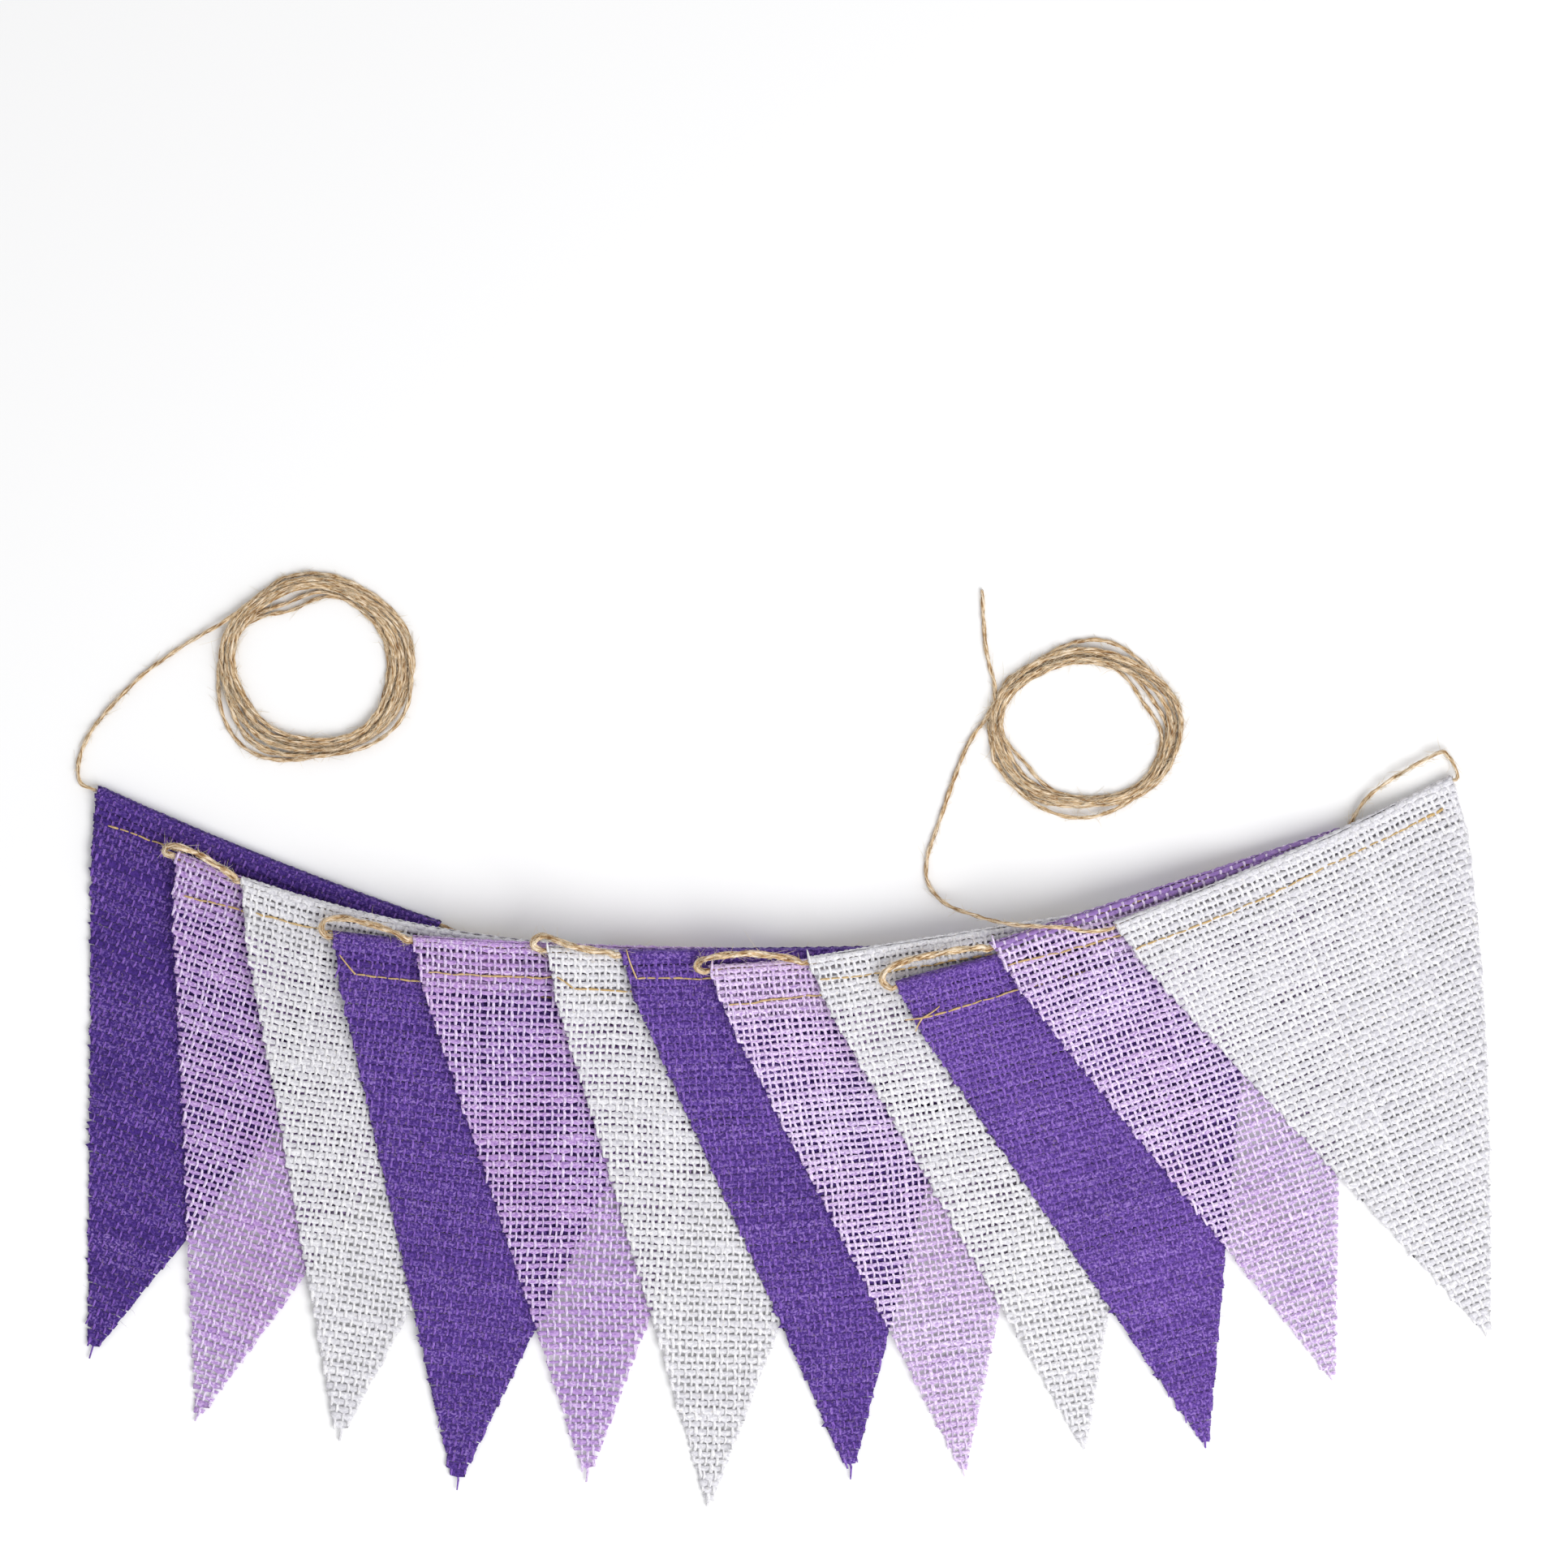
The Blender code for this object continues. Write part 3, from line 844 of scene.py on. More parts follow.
@dataclass(frozen=True)
class YarnFinish:
    """The look of spun yarn.

    Args:
        name: The material's name.
        weft: Colour of the thick threads.
        warp: Colour of the thin threads.
        shade: Colour of the painted shade in the hollows between fibres, which darker threads and lumps
            also take.
        painted_highlight: Colour of the painted highlight on the lightest fibres.
        fleck: Colour of stray specks of bark and lint.
        flecks: How much of the yarn the specks cover.
        contrast: How strongly its fibres differ from one another, in tone and in their painted shade and
            painted highlight.
        cloud: Colour that drifts over it in soft patches.
        streak: How quickly its fibres change along the yarn.
        strands: How many fibres show round the yarn.
    """

    name: str
    weft: str
    warp: str
    shade: str
    painted_highlight: str
    fleck: str
    flecks: float = 0.04
    contrast: float = 1.0
    cloud: str = "D8C09A"
    streak: float = 0.40
    strands: float = 1.9

    # Noises: how the yarn's own map is stretched, where it is, then scale, detail and roughness
    FIBRES = (2.6, 3.0, 0.6)
    LUMPS_MAP = (0.10, 0.4, 1.0)
    LUMPS = (1.5, 2.0)
    SPECKS_MAP = (0.5, 1.6, 1.0)
    SPECKS = (1.9, 1.0)
    PATCHES = (26.0, 3.0)
    # Ramps: a place on the noise and the grey there
    CLOUDY = ((0.45, 0.0), (0.72, 1.0))
    HOLLOW = ((0.34, 1.0), (0.53, 0.0))
    BRIGHT = ((0.49, 0.0), (0.64, 1.0))
    SPECK_TOP = 0.72
    SPECK_EDGE = 0.06
    # How strongly each one colours the yarn
    CLOUD_SHARE = 0.4
    HOLLOW_SHARE = 0.60
    TONE_SHARE = 0.15
    LUMP_SHARE = 0.5
    BRIGHT_SHARE = 0.6
    SPECK_SHARE = 0.75
    SMOOTHEST = 0.80
    ROUGHER = 0.16
    BUMP = 0.00012

    def material(self) -> bpy.types.Material:
        """The material, which reads the yarn's own attributes.

        Returns:
            A new material.
        """
        tree = NodeTree(self.name)
        yarn = tree.attribute("yarn", "Vector")
        tone = tree.attribute("tone")
        kind = tree.attribute("kind")
        fibres = tree.noise(tree.stretch(yarn, (self.streak, self.strands, 1.0)), *self.FIBRES)
        lumps = tree.noise(tree.stretch(yarn, self.LUMPS_MAP), *self.LUMPS)
        specks = tree.noise(tree.stretch(yarn, self.SPECKS_MAP), *self.SPECKS)
        colour = tree.blend(kind.clamped(), srgb(self.weft), srgb(self.warp))
        place = tree.node("ShaderNodeTexCoord", {}, {}, "Object")
        patches = tree.ramp(tree.noise(place, *self.PATCHES), *self.CLOUDY)
        colour = tree.blend((patches * self.CLOUD_SHARE).clamped(), colour, srgb(self.cloud))
        # Painted shade in the fibres' hollows, together with each thread's own darker tone and its lumps.
        dark = tree.ramp(fibres, *self.HOLLOW) * self.HOLLOW_SHARE + (1 - tone) * self.TONE_SHARE
        dark = (dark + (lumps - 0.5) * self.LUMP_SHARE) * self.contrast
        colour = tree.blend(dark.clamped(), colour, srgb(self.shade))
        # Painted highlight: the lightest fibre streaks are lifted toward the highlight colour, more on
        # lighter threads.
        light = tree.ramp(fibres, *self.BRIGHT) * self.BRIGHT_SHARE * tone * self.contrast
        colour = tree.blend(light.clamped(), colour, srgb(self.painted_highlight))
        cut = self.SPECK_TOP - self.flecks
        spots = tree.ramp(specks, (cut, 0.0), (cut + self.SPECK_EDGE, 1.0)) * self.SPECK_SHARE
        colour = tree.blend(spots.clamped(), colour, srgb(self.fleck))
        roughness = self.SMOOTHEST + self.ROUGHER * fibres
        tree.set(Base_Color=colour, Roughness=roughness, Metallic=0.0)
        tree.set(Sheen_Weight=0.15, Sheen_Roughness=0.5, Specular_IOR_Level=0.25)
        tree.bump(fibres, self.BUMP)
        return tree.material


CLOTH_FINISHES = {
    Dye.PURPLE: YarnFinish(
        "purple_hessian", "432581", "7F57BA", "1F0E42", "A486CC", "6E5A78", 0.05, 1.05, "391C78",
    ),
    Dye.LILAC: YarnFinish(
        "lilac_hessian", "BA95D2", "E6D4F2", "8C6CAE", "F2E8FA", "B090BC", 0.05, 1.25, "C492CE",
    ),
    Dye.WHITE: YarnFinish(
        "white_hessian", "DAD9DE", "E9E8EA", "B8B6C0", "F8F7F9", "D2CCC4", 0.04, 1.1, "D4D3DA",
    ),
}
TWINE_FINISH = YarnFinish(
    "jute_twine", "D2B184", "DABD92", "7E5832", "FFF6E8", "A07848", 0.05, 1.7, "C49860", 0.10, 1.1,
)
FIBRE_FINISH = YarnFinish("jute_fibre", "E6D6B8", "EADCC2", "CDB78E", "F6EEDC", "C0A67C", 0.03)
THREAD_FINISH = YarnFinish("sewing_thread", "C8A468", "CEAE76", "8E6C38", "EAD2A4", "A07838", 0.03)


class YarnMesh:
    """Closed tubes of yarn, joined into one mesh with their own bake map."""

    # In the bake map: room after each tube, room at a row's end, and the band that a row fills
    PAD = 1.4
    ROW_PAD = 3.0
    BAND = (0.08, 0.84)
    # Half sizes of an end face in the bake map
    CAP = (0.35, 0.3)
    # What sets each tube's fibres apart: the step from tube to tube, and where it starts again
    SEED_STEP = 0.37
    SEED_SPAN = 97.0

    def __init__(self, map_rows: int) -> None:
        """Start with no tubes.

        Args:
            map_rows: The number of rows in the bake map.
        """
        self.map_rows = map_rows
        self.verts: list[np.ndarray] = []
        self.yarn: list[np.ndarray] = []
        self.tone: list[np.ndarray] = []
        self.kind: list[np.ndarray] = []
        self.faces: list[np.ndarray] = []
        self.spots: list[np.ndarray] = []
        self.count = 0
        self.run = 0.0

    def add(
        self,
        middle: np.ndarray,
        side: np.ndarray,
        above: np.ndarray,
        wide: np.ndarray,
        thick: np.ndarray,
        sides: int,
        tone: float,
        kind: float = 0.0,
    ) -> None:
        """Add one tube.

        Args:
            middle: Its middle line.
            side: Directions of its width, one for each point.
            above: Directions of its thickness.
            wide: Half its width at each point.
            thick: Half its thickness at each point.
            sides: Number of its sides.
            tone: Lightness of this thread, from 0 to 1; on the cloth it also carries painted light and
                painted shadow.
            kind: 1 for a warp thread and 0 for any other; a weft of the cloth also carries painted light
                in it.
        """
        rings = len(middle)
        turn = math.tau * (np.arange(sides) + 0.5) / sides
        wide = np.broadcast_to(wide, rings)[:, None, None]
        thick = np.broadcast_to(thick, rings)[:, None, None]
        cos, sin = np.cos(turn)[None, :, None], np.sin(turn)[None, :, None]
        ring = middle[:, None, :] + side[:, None, :] * wide * cos + above[:, None, :] * thick * sin
        along = runs_along(middle)
        self.verts.append(ring.reshape(-1, 3))
        girth = np.broadcast_to(np.arange(sides) / sides, (rings, sides))
        seed = self.run * self.SEED_STEP % self.SEED_SPAN
        self.yarn.append(np.stack((
            np.broadcast_to(along[:, None], (rings, sides)),
            np.abs(girth * 2 - 1),
            np.full((rings, sides), seed),
        ), axis=-1).reshape(-1, 3))
        self.tone.append(np.full(rings * sides, tone))
        self.kind.append(np.full(rings * sides, kind))
        heading = middle[1] - middle[0]
        right_handed = float(np.dot(np.cross(side[0], above[0]), heading)) > 0
        self._skin(rings, sides, right_handed, along)
        self.count += rings * sides
        self.run += along[-1] + self.PAD

    def _skin(self, rings: int, sides: int, right_handed: bool, along: np.ndarray) -> None:
        """Face the tube that was just added and lay it in the bake map.

        Args:
            rings: Number of its rings.
            sides: Number of its sides.
            right_handed: Whether its rings turn right-handed about its heading.
            along: Distance of each ring from the first.
        """
        i, j = np.meshgrid(np.arange(rings - 1), np.arange(sides), indexing="ij")
        k = (j + 1) % sides
        low, high = i * sides, (i + 1) * sides
        quads = np.stack((low + j, low + k, high + k, high + j), axis=-1).reshape(-1, 4) + self.count
        start, end = self.run + along[i], self.run + along[i + 1]
        spots = np.stack((
            np.stack((start, j / sides), axis=-1), np.stack((start, (j + 1) / sides), axis=-1),
            np.stack((end, (j + 1) / sides), axis=-1), np.stack((end, j / sides), axis=-1),
        ), axis=-2).reshape(-1, 4, 2)
        caps = np.stack((np.arange(sides)[::-1], np.arange(sides) + (rings - 1) * sides)) + self.count
        turn = math.tau * np.arange(sides) / sides
        dot = np.stack((self.CAP[0] * np.cos(turn), 0.5 + self.CAP[1] * np.sin(turn)), axis=-1)
        ends = self.run + along[-1] + self.PAD / 2
        cap_spots = np.stack((dot[::-1] + (ends, 0.0), dot + (ends, 0.0)))
        if not right_handed:
            quads, spots = quads[:, ::-1], spots[:, ::-1]
            caps, cap_spots = caps[:, ::-1], cap_spots[:, ::-1]
        self.faces += [quads, caps]
        self.spots += [spots, cap_spots]

    def _map(self) -> np.ndarray:
        """Places in the bake map: the yarn written in rows, like a text.

        Returns:
            One place for each corner of each face.
        """
        row = self.run / self.map_rows + self.ROW_PAD
        start, height = self.BAND
        flat = []
        for spots in self.spots:
            lines = np.floor(spots[:, :1, 0] / row)
            u = (spots[..., 0] - lines * row) / (row + self.ROW_PAD)
            v = (lines + start + height * spots[..., 1]) / (self.map_rows + 1)
            flat.append(np.stack((np.clip(u, 0.0, 1.0), v), axis=-1).reshape(-1, 2))
        return np.concatenate(flat)

    def build(self, name: str, finish: bpy.types.Material) -> bpy.types.Object:
        """Write the mesh.

        Args:
            name: The piece's name.
            finish: Its material.

        Returns:
            The new object, linked to the scene.
        """
        mesh = bpy.data.meshes.new(name)
        verts = np.concatenate(self.verts) * MM
        loops = np.concatenate([face.reshape(-1) for face in self.faces])
        sizes = np.concatenate([np.full(len(face), face.shape[1]) for face in self.faces])
        mesh.vertices.add(len(verts))
        mesh.vertices.foreach_set("co", verts.astype(np.float32).ravel())
        mesh.loops.add(len(loops))
        mesh.loops.foreach_set("vertex_index", loops.astype(np.int32))
        mesh.polygons.add(len(sizes))
        starts = np.concatenate(((0,), np.cumsum(sizes)[:-1]))
        mesh.polygons.foreach_set("loop_start", starts.astype(np.int32))
        mesh.update(calc_edges=True)
        mesh.uv_layers.new(name="OFBake")
        mesh.uv_layers["OFBake"].uv.foreach_set("vector", self._map().astype(np.float32).ravel())
        yarn = mesh.attributes.new("yarn", "FLOAT_VECTOR", "POINT")
        yarn.data.foreach_set("vector", np.concatenate(self.yarn).astype(np.float32).ravel())
        for label, parts in (("tone", self.tone), ("kind", self.kind)):
            layer = mesh.attributes.new(label, "FLOAT", "POINT")
            layer.data.foreach_set("value", np.concatenate(parts).astype(np.float32))
        mesh.shade_smooth()
        mesh.materials.append(finish)
        piece = bpy.data.objects.new(name, mesh)
        bpy.context.scene.collection.objects.link(piece)
        triangles = int((sizes - 2).sum())
        Tally.total += triangles
        LOG.info("%s: %d triangles", name, triangles)
        return piece


class Tally:
    """How many triangles the pieces have so far."""

    total = 0


@dataclass(frozen=True)
class Weave:
    """Sizes of a plain weave.

    Args:
        warp_size: Width and thickness of a thread that runs from hem to tip.
        weft_size: Width and thickness of a thread along the hem.
        warp_pitch: Distance between warp threads.
        weft_pitch: Distance between weft threads.
        warp_wave: How far a warp thread swings over and under.
        weft_wave: How far a weft thread swings.
        zigzag: How far both are pushed aside where they cross.
        pillow: How much wider a thread lies where it is on top.
        slub: How much a weft thread's width comes and goes.
        uneven: How far threads stray from their rows, as a share of the usual.
    """

    warp_size: tuple[float, float]
    weft_size: tuple[float, float]
    warp_pitch: float = 2.13
    weft_pitch: float = 2.5
    warp_wave: float = 0.32
    weft_wave: float = 0.22
    zigzag: float = 0.16
    pillow: float = 0.20
    slub: float = 0.28
    uneven: float = 1.0


WEAVES = {
    Dye.PURPLE: Weave(
        warp_size=(1.10, 0.36), weft_size=(2.85, 0.30), pillow=0.08, slub=0.08, uneven=0.4,
    ),
    Dye.LILAC: Weave(warp_size=(1.16, 0.46), weft_size=(1.66, 0.44)),
    Dye.WHITE: Weave(warp_size=(1.46, 0.42), weft_size=(2.10, 0.40), slub=0.22),
}
TOP_WEAVE = Weave(warp_size=(1.42, 0.38), weft_size=(2.40, 0.34), slub=0.16, uneven=0.8)


@dataclass
class Pennant:
    """One pennant of woven hessian.

    Args:
        plan: Where it lies.
        fold_crowding: How much closer its weft threads lie in the fold.
        piece: The woven cloth, once it is built.
    """

    plan: PennantPlan
    fold_crowding: float = 0.26
    piece: Optional[bpy.types.Object] = field(default=None, init=False)

    # Depths below the fold where the flap ends and where the casing closes, and how gently
    FLAP_SHOULDER = (FLAP_DEPTH, 24.0)
    CASING_SHOULDER = (4.0, 8.0)
    # Distances from the fold: within which wefts crowd, stray less and take the painted shadow of the
    # next pennant's hem
    CROWDED = (2.5, 3.5)
    STEADY = (4.0, 6.0)
    SHADED = (2.5, 4.0)
    # The first weft's distance from the tip, and the last one's least distance from the raw edge
    FIRST_WEFT = 1.4
    LAST_WEFT = 1.0
    # Slow drifts: over what distance, and how far
    WEFT_DRIFT = (20.0, 0.3)
    WARP_DRIFT = (18.0, 0.4)
    ROW_SHIFT = (22.0, 0.7)
    ROW_WAVE = (16.0, 0.22)
    CLOTH_WAVE = (26.0, 0.5)
    # Jitter from thread to thread, and from crossing to crossing
    WEFT_JITTER = 0.06
    WARP_JITTER = 0.16
    ACROSS_JITTER = 0.12
    RUN_JITTER = 0.10
    # Share of the zigzag that shows along the warp
    ZIGZAG_ALONG = 0.7
    # Weft: its sides, how its size varies and within what, and the span of its slubs
    WEFT_SIDES = 6
    WEFT_VARIES = 0.09
    WEFT_RANGE = (-0.18, 0.2)
    SLUB_SPAN = 6.0
    # How far its cut end lies inside the edge, past its last crossing at least, and its jitter
    CUT_SHORT = 0.5
    LEAST_END = 0.1
    END_JITTER = 0.2
    # How often it has a knot, how much wider and over what length, and its greatest half width
    KNOT_CHANCE = 0.22
    KNOT_SWELL = 0.35
    KNOT_SPAN = 5.0
    WIDEST_HALF = 1.6
    # An end face leans with the cut edge, which is read over this reach, and by no more than this
    LEAN_REACH = 0.5
    MOST_LEAN = 0.5
    # Warp: its sides, how its size varies and within what, and its slow drift
    WARP_SIDES = 4
    WARP_VARIES = 0.13
    WARP_RANGE = (0.7, 1.3)
    WARP_WIDTH_DRIFT = (11.0, 0.15)
    # Its bare end past the cut edge, the least of it, its splay, and its raw end at the flap
    BARE_JITTER = (-0.4, 0.2)
    LEAST_BARE = 0.5
    SPLAY = 0.12
    RAW_END = (0.5, 1.2)
    # Ends: how much narrower a weft's and a warp's are, and how much thinner a weft's
    WEFT_END = 0.94
    WARP_END = 0.7
    THIN_END = 0.7
    # Lightness of the threads: the middle, how it varies and within what
    TONE = 0.62
    TONE_VARIES = 0.24
    TONE_RANGE = (0.05, 1.2)
    # How strongly the painted light shows in the weft's colour
    PAINTED_LIGHT_IN_WEFT = 1.6

    def __post_init__(self) -> None:
        """Seed the unevenness of this pennant's weave."""
        self.rng = np.random.default_rng(100 + self.plan.number)
        self.weave = TOP_WEAVE if self.plan.number == len(PLANS) else WEAVES[self.plan.dye]

    @property
    def front(self) -> float:
        """Length of its face, from the tip to the start of the fold."""
        return self.plan.length - FOLD_CENTRE

    @property
    def path_length(self) -> float:
        """Length of its section, from the tip over the fold to the flap's raw edge."""
        return self.front + FOLD_LENGTH + FLAP_DEPTH - FOLD_CENTRE

    def section(self, run: np.ndarray) -> tuple[np.ndarray, np.ndarray, np.ndarray, np.ndarray]:
        """The cloth's middle along its section.

        Args:
            run: Distances from the tip along the cloth.

        Returns:
            Depth below the fold, height over the pile, and the direction outwards from the cloth as
            its part down the pennant and its part up.
        """
        front = self.front
        turn = np.clip((run - front) / FOLD_RADIUS, 0.0, math.pi)
        flat_depth = self.plan.length - run
        back_depth = FOLD_CENTRE + (run - front - FOLD_LENGTH)
        flap = FLAP_LIFT * fall(flat_depth, self.FLAP_SHOULDER)
        casing = (CASING_LIFT - FLAP_LIFT) * fall(flat_depth, self.CASING_SHOULDER)
        depth = np.where(run < front, flat_depth, FOLD_CENTRE - FOLD_RADIUS * np.sin(turn))
        depth = np.where(run > front + FOLD_LENGTH, back_depth, depth)
        height = np.where(
            run < front, flap + casing + CLOTH / 2, FOLD_CENTRE + FOLD_RADIUS * np.cos(turn),
        )
        return depth, height, -np.sin(turn), np.cos(turn)

    def surface(self, across: np.ndarray, run: np.ndarray) -> tuple[np.ndarray, np.ndarray]:
        """Points on the cloth's middle.

        Args:
            across: Places along the hem, from its left end.
            run: Distances from the tip along the cloth.

        Returns:
            The points, and the directions outwards from the cloth there.
        """
        depth, height, out_down, out_up = self.section(run)
        places = self.plan.place(across, depth)
        ground = Pile.ground(self.plan.number, places)
        points = np.concatenate((places, (ground + height)[..., None]), axis=-1)
        outward = np.concatenate((
            out_down[..., None] * self.plan.down, np.asarray(out_up)[..., None],
        ), axis=-1)
        return points, outward

    def _weft_runs(self) -> np.ndarray:
        """Where each weft thread lies, closer together round the fold.

        Returns:
            Distances from the tip along the cloth.
        """
        fold = self.front + FOLD_LENGTH * 0.3
        runs = [self.FIRST_WEFT]
        while runs[-1] < self.path_length - self.LAST_WEFT:
            near = float(fall(abs(runs[-1] - fold), self.CROWDED))
            runs.append(runs[-1] + self.weave.weft_pitch * (1 - self.fold_crowding * near))
        wefts = np.array(runs[:-1])
        loose = 1 - fall(np.abs(wefts - fold), self.STEADY)
        stray = self.rng.normal(0.0, self.WEFT_JITTER, len(wefts))
        stray += wander(self.rng, wefts, *self.WEFT_DRIFT)
        return wefts + stray * loose * self.weave.uneven

    def _grid(self) -> tuple[np.ndarray, np.ndarray, np.ndarray, np.ndarray]:
        """Where each pair of threads crosses.

        Returns:
            For each weft and warp thread, the place across, the run along the cloth, 1 where the
            warp is on top and -1 elsewhere, and whether the crossing is inside the outline.
        """
        count = int(HEM_WIDTH / self.weave.warp_pitch)
        warps = (np.arange(count) + 0.5) * HEM_WIDTH / count
        jitter = self.rng.normal(0.0, self.WARP_JITTER, count)
        warps += jitter + wander(self.rng, warps, *self.WARP_DRIFT)
        wefts = self._weft_runs()
        rows = len(wefts)
        across = warps[None, :] + wander(self.rng, wefts, *self.ROW_SHIFT)[:, None]
        across = across + self.rng.normal(0.0, self.ACROSS_JITTER, (rows, count))
        over = np.where(np.add.outer(np.arange(rows), np.arange(count)) % 2 == 0, 1.0, -1.0)
        across += over * self.weave.zigzag
        run = wefts[:, None] + np.zeros((rows, count))
        for row in range(rows):
            run[row] += wander(self.rng, warps, *self.ROW_WAVE) * self.weave.uneven
        run += wander(self.rng, warps, *self.CLOTH_WAVE)[None, :]
        run += over * self.weave.zigzag * self.ZIGZAG_ALONG
        run += self.rng.normal(0.0, self.RUN_JITTER, run.shape) * self.weave.uneven
        depth = self.section(run)[0]
        off = across - HEM_WIDTH / 2
        inside = (off >= -self.plan.half_width(depth)) & (off <= self.plan.right_half(depth))
        inside &= run > self.plan.fray
        return across, run, over, inside

    def _cut(self, run: np.ndarray) -> tuple[np.ndarray, np.ndarray]:
        """Places across where the cut edges lie.

        Args:
            run: Distances from the tip along the cloth.

        Returns:
            Places on the left edge and on the right edge.
        """
        depth = self.section(run)[0]
        middle = HEM_WIDTH / 2
        return middle - self.plan.half_width(depth), middle + self.plan.right_half(depth)

    def _shear(self, ends: np.ndarray, runs: np.ndarray, side: np.ndarray) -> np.ndarray:
        """How far a weft's two end faces lean, so that they follow the cut edges.

        Args:
            ends: Places across of its left and right ends.
            runs: Their runs along the cloth.
            side: The thread's width directions there.

        Returns:
            What is added to the two directions.
        """
        reach = np.array((-self.LEAN_REACH, self.LEAN_REACH))
        left, right = self._cut(np.add.outer(runs, reach))
        slopes = np.array((left[0, 1] - left[0, 0], right[1, 1] - right[1, 0]))
        slopes = slopes / (2 * self.LEAN_REACH)
        points, _ = self.surface(np.repeat(ends[:, None], 2, axis=1), np.add.outer(runs, reach))
        toward_flap = np.sign(np.sum((points[:, 1] - points[:, 0]) * side, axis=1))
        lean = np.clip(slopes, -self.MOST_LEAN, self.MOST_LEAN) * toward_flap
        return lean[:, None] * np.array((*self.plan.along, 0.0))

    def _warp_start(self, across: float) -> float:
        """Where a warp thread starts at the cut edge.

        Args:
            across: Its place across.

        Returns:
            Its distance from the tip along the cloth.
        """
        runs = np.linspace(0.0, self.front, 200)
        left, right = self._cut(runs)
        return float(runs[np.argmax((across >= left) & (across <= right))])

    def build(self) -> bpy.types.Object:
        """Weave the pennant.

        Returns:
            The woven cloth.
        """
        cloth = YarnMesh(map_rows=50)
        across, run, over, inside = self._grid()
        rows, count = across.shape
        for row in range(rows):
            picks = np.nonzero(inside[row])[0]
            if len(picks) >= 2:
                self._weft(cloth, across[row, picks], run[row, picks], over[row, picks])
        for column in range(count):
            picks = np.nonzero(inside[:, column])[0]
            if len(picks) >= 2:
                self._warp(cloth, across[picks, column], run[picks, column], over[picks, column])
        finish = Finishes.get(CLOTH_FINISHES[self.plan.dye])
        self.piece = cloth.build(f"hessian_{self.plan.number:02d}_{self.plan.dye.value}", finish)
        return self.piece

    def _weft(self, cloth: YarnMesh, across: np.ndarray, run: np.ndarray, over: np.ndarray) -> None:
        """Add one thick thread along the hem, with raw ends.

        Args:
            cloth: The mesh that it joins.
            across: Places across where it crosses the warp.
            run: Runs along the cloth there.
            over: 1 where the warp is on top, and -1 elsewhere.
        """
        left, right = self._cut(run)
        first = min(across[0] - self.LEAST_END, left[0] + self.rng.uniform(0.0, self.CUT_SHORT))
        last = max(across[-1] + self.LEAST_END, right[-1] - self.rng.uniform(0.0, self.CUT_SHORT))
        across = np.concatenate(((first,), across, (last,)))
        start = run[0] + self.rng.normal(0, self.END_JITTER)
        run = np.concatenate(((start,), run, (run[-1],)))
        over = np.concatenate(((0.0,), over, (0.0,)))
        points, outward = self.surface(across, run)
        points = points - outward * (over * self.weave.weft_wave)[:, None]
        heading = unit(np.gradient(points, axis=0))
        side = unit(np.cross(outward, heading))
        side[[0, -1]] += self._shear(across[[0, -1]], run[[0, -1]], side[[0, -1]])
        strays = np.clip(self.rng.normal(0.0, self.WEFT_VARIES), *self.WEFT_RANGE)
        size = 1 + self.weave.uneven * strays
        slubs = wander(self.rng, across, self.SLUB_SPAN, self.weave.slub)
        wide = self.weave.weft_size[0] / 2 * size * (1 + slubs)
        if self.rng.random() < self.KNOT_CHANCE:
            knot = self.rng.uniform(across[0], across[-1])
            wide = wide * (1 + self.KNOT_SWELL * np.exp(-((across - knot) / self.KNOT_SPAN) ** 2))
        wide = np.minimum(wide * (1 - self.weave.pillow * over), self.WIDEST_HALF)
        wide[[0, -1]] *= self.WEFT_END
        thick = np.full(len(wide), self.weave.weft_size[1] / 2)
        thick[[0, -1]] *= self.THIN_END
        # Painted shadow: the fold's threads are darkened where the next pennant's hem shades them.
        in_fold = float(fall(abs(np.mean(run) - self.plan.length), self.SHADED))
        tone = self._tone() - self.plan.fold_painted_shadow * in_fold
        # Painted light: a weft's kind takes the pennant's painted light, moving its colour toward the
        # lighter warp colour.
        kind = self.plan.fade * self.PAINTED_LIGHT_IN_WEFT
        cloth.add(points, side, outward, wide, thick, self.WEFT_SIDES, tone, kind)

    def _warp(self, cloth: YarnMesh, across: np.ndarray, run: np.ndarray, over: np.ndarray) -> None:
        """Add one thin thread from the tip, over the fold, to the flap's edge.

        Args:
            cloth: The mesh that it joins.
            across: Places across where it crosses the weft.
            run: Runs along the cloth there.
            over: 1 where it is on top, and -1 elsewhere.
        """
        bare = run[0] - self._warp_start(across[0]) + self.rng.uniform(*self.BARE_JITTER)
        bare = max(self.LEAST_BARE, bare)
        splay = self.rng.normal(0.0, self.SPLAY) * bare
        end = self.rng.uniform(*self.RAW_END)
        across = np.concatenate(((across[0] + splay,), across, (across[-1],)))
        run = np.concatenate(((run[0] - bare,), run, (run[-1] + end,)))
        over = np.concatenate(((0.0,), over, (0.0,)))
        points, outward = self.surface(across, run)
        points = points + outward * (over * self.weave.warp_wave)[:, None]
        side = np.broadcast_to((*self.plan.along, 0.0), points.shape)
        size = np.clip(self.rng.normal(1.0, self.WARP_VARIES), *self.WARP_RANGE)
        drift = wander(self.rng, run, *self.WARP_WIDTH_DRIFT)
        wide = self.weave.warp_size[0] / 2 * size * (1 + drift)
        wide = wide * (1 + self.weave.pillow * over)
        wide[[0, -1]] *= self.WARP_END
        thick = np.full(len(wide), self.weave.warp_size[1] / 2)
        cloth.add(points, side, outward, wide, thick, self.WARP_SIDES, self._tone(), 1.0)

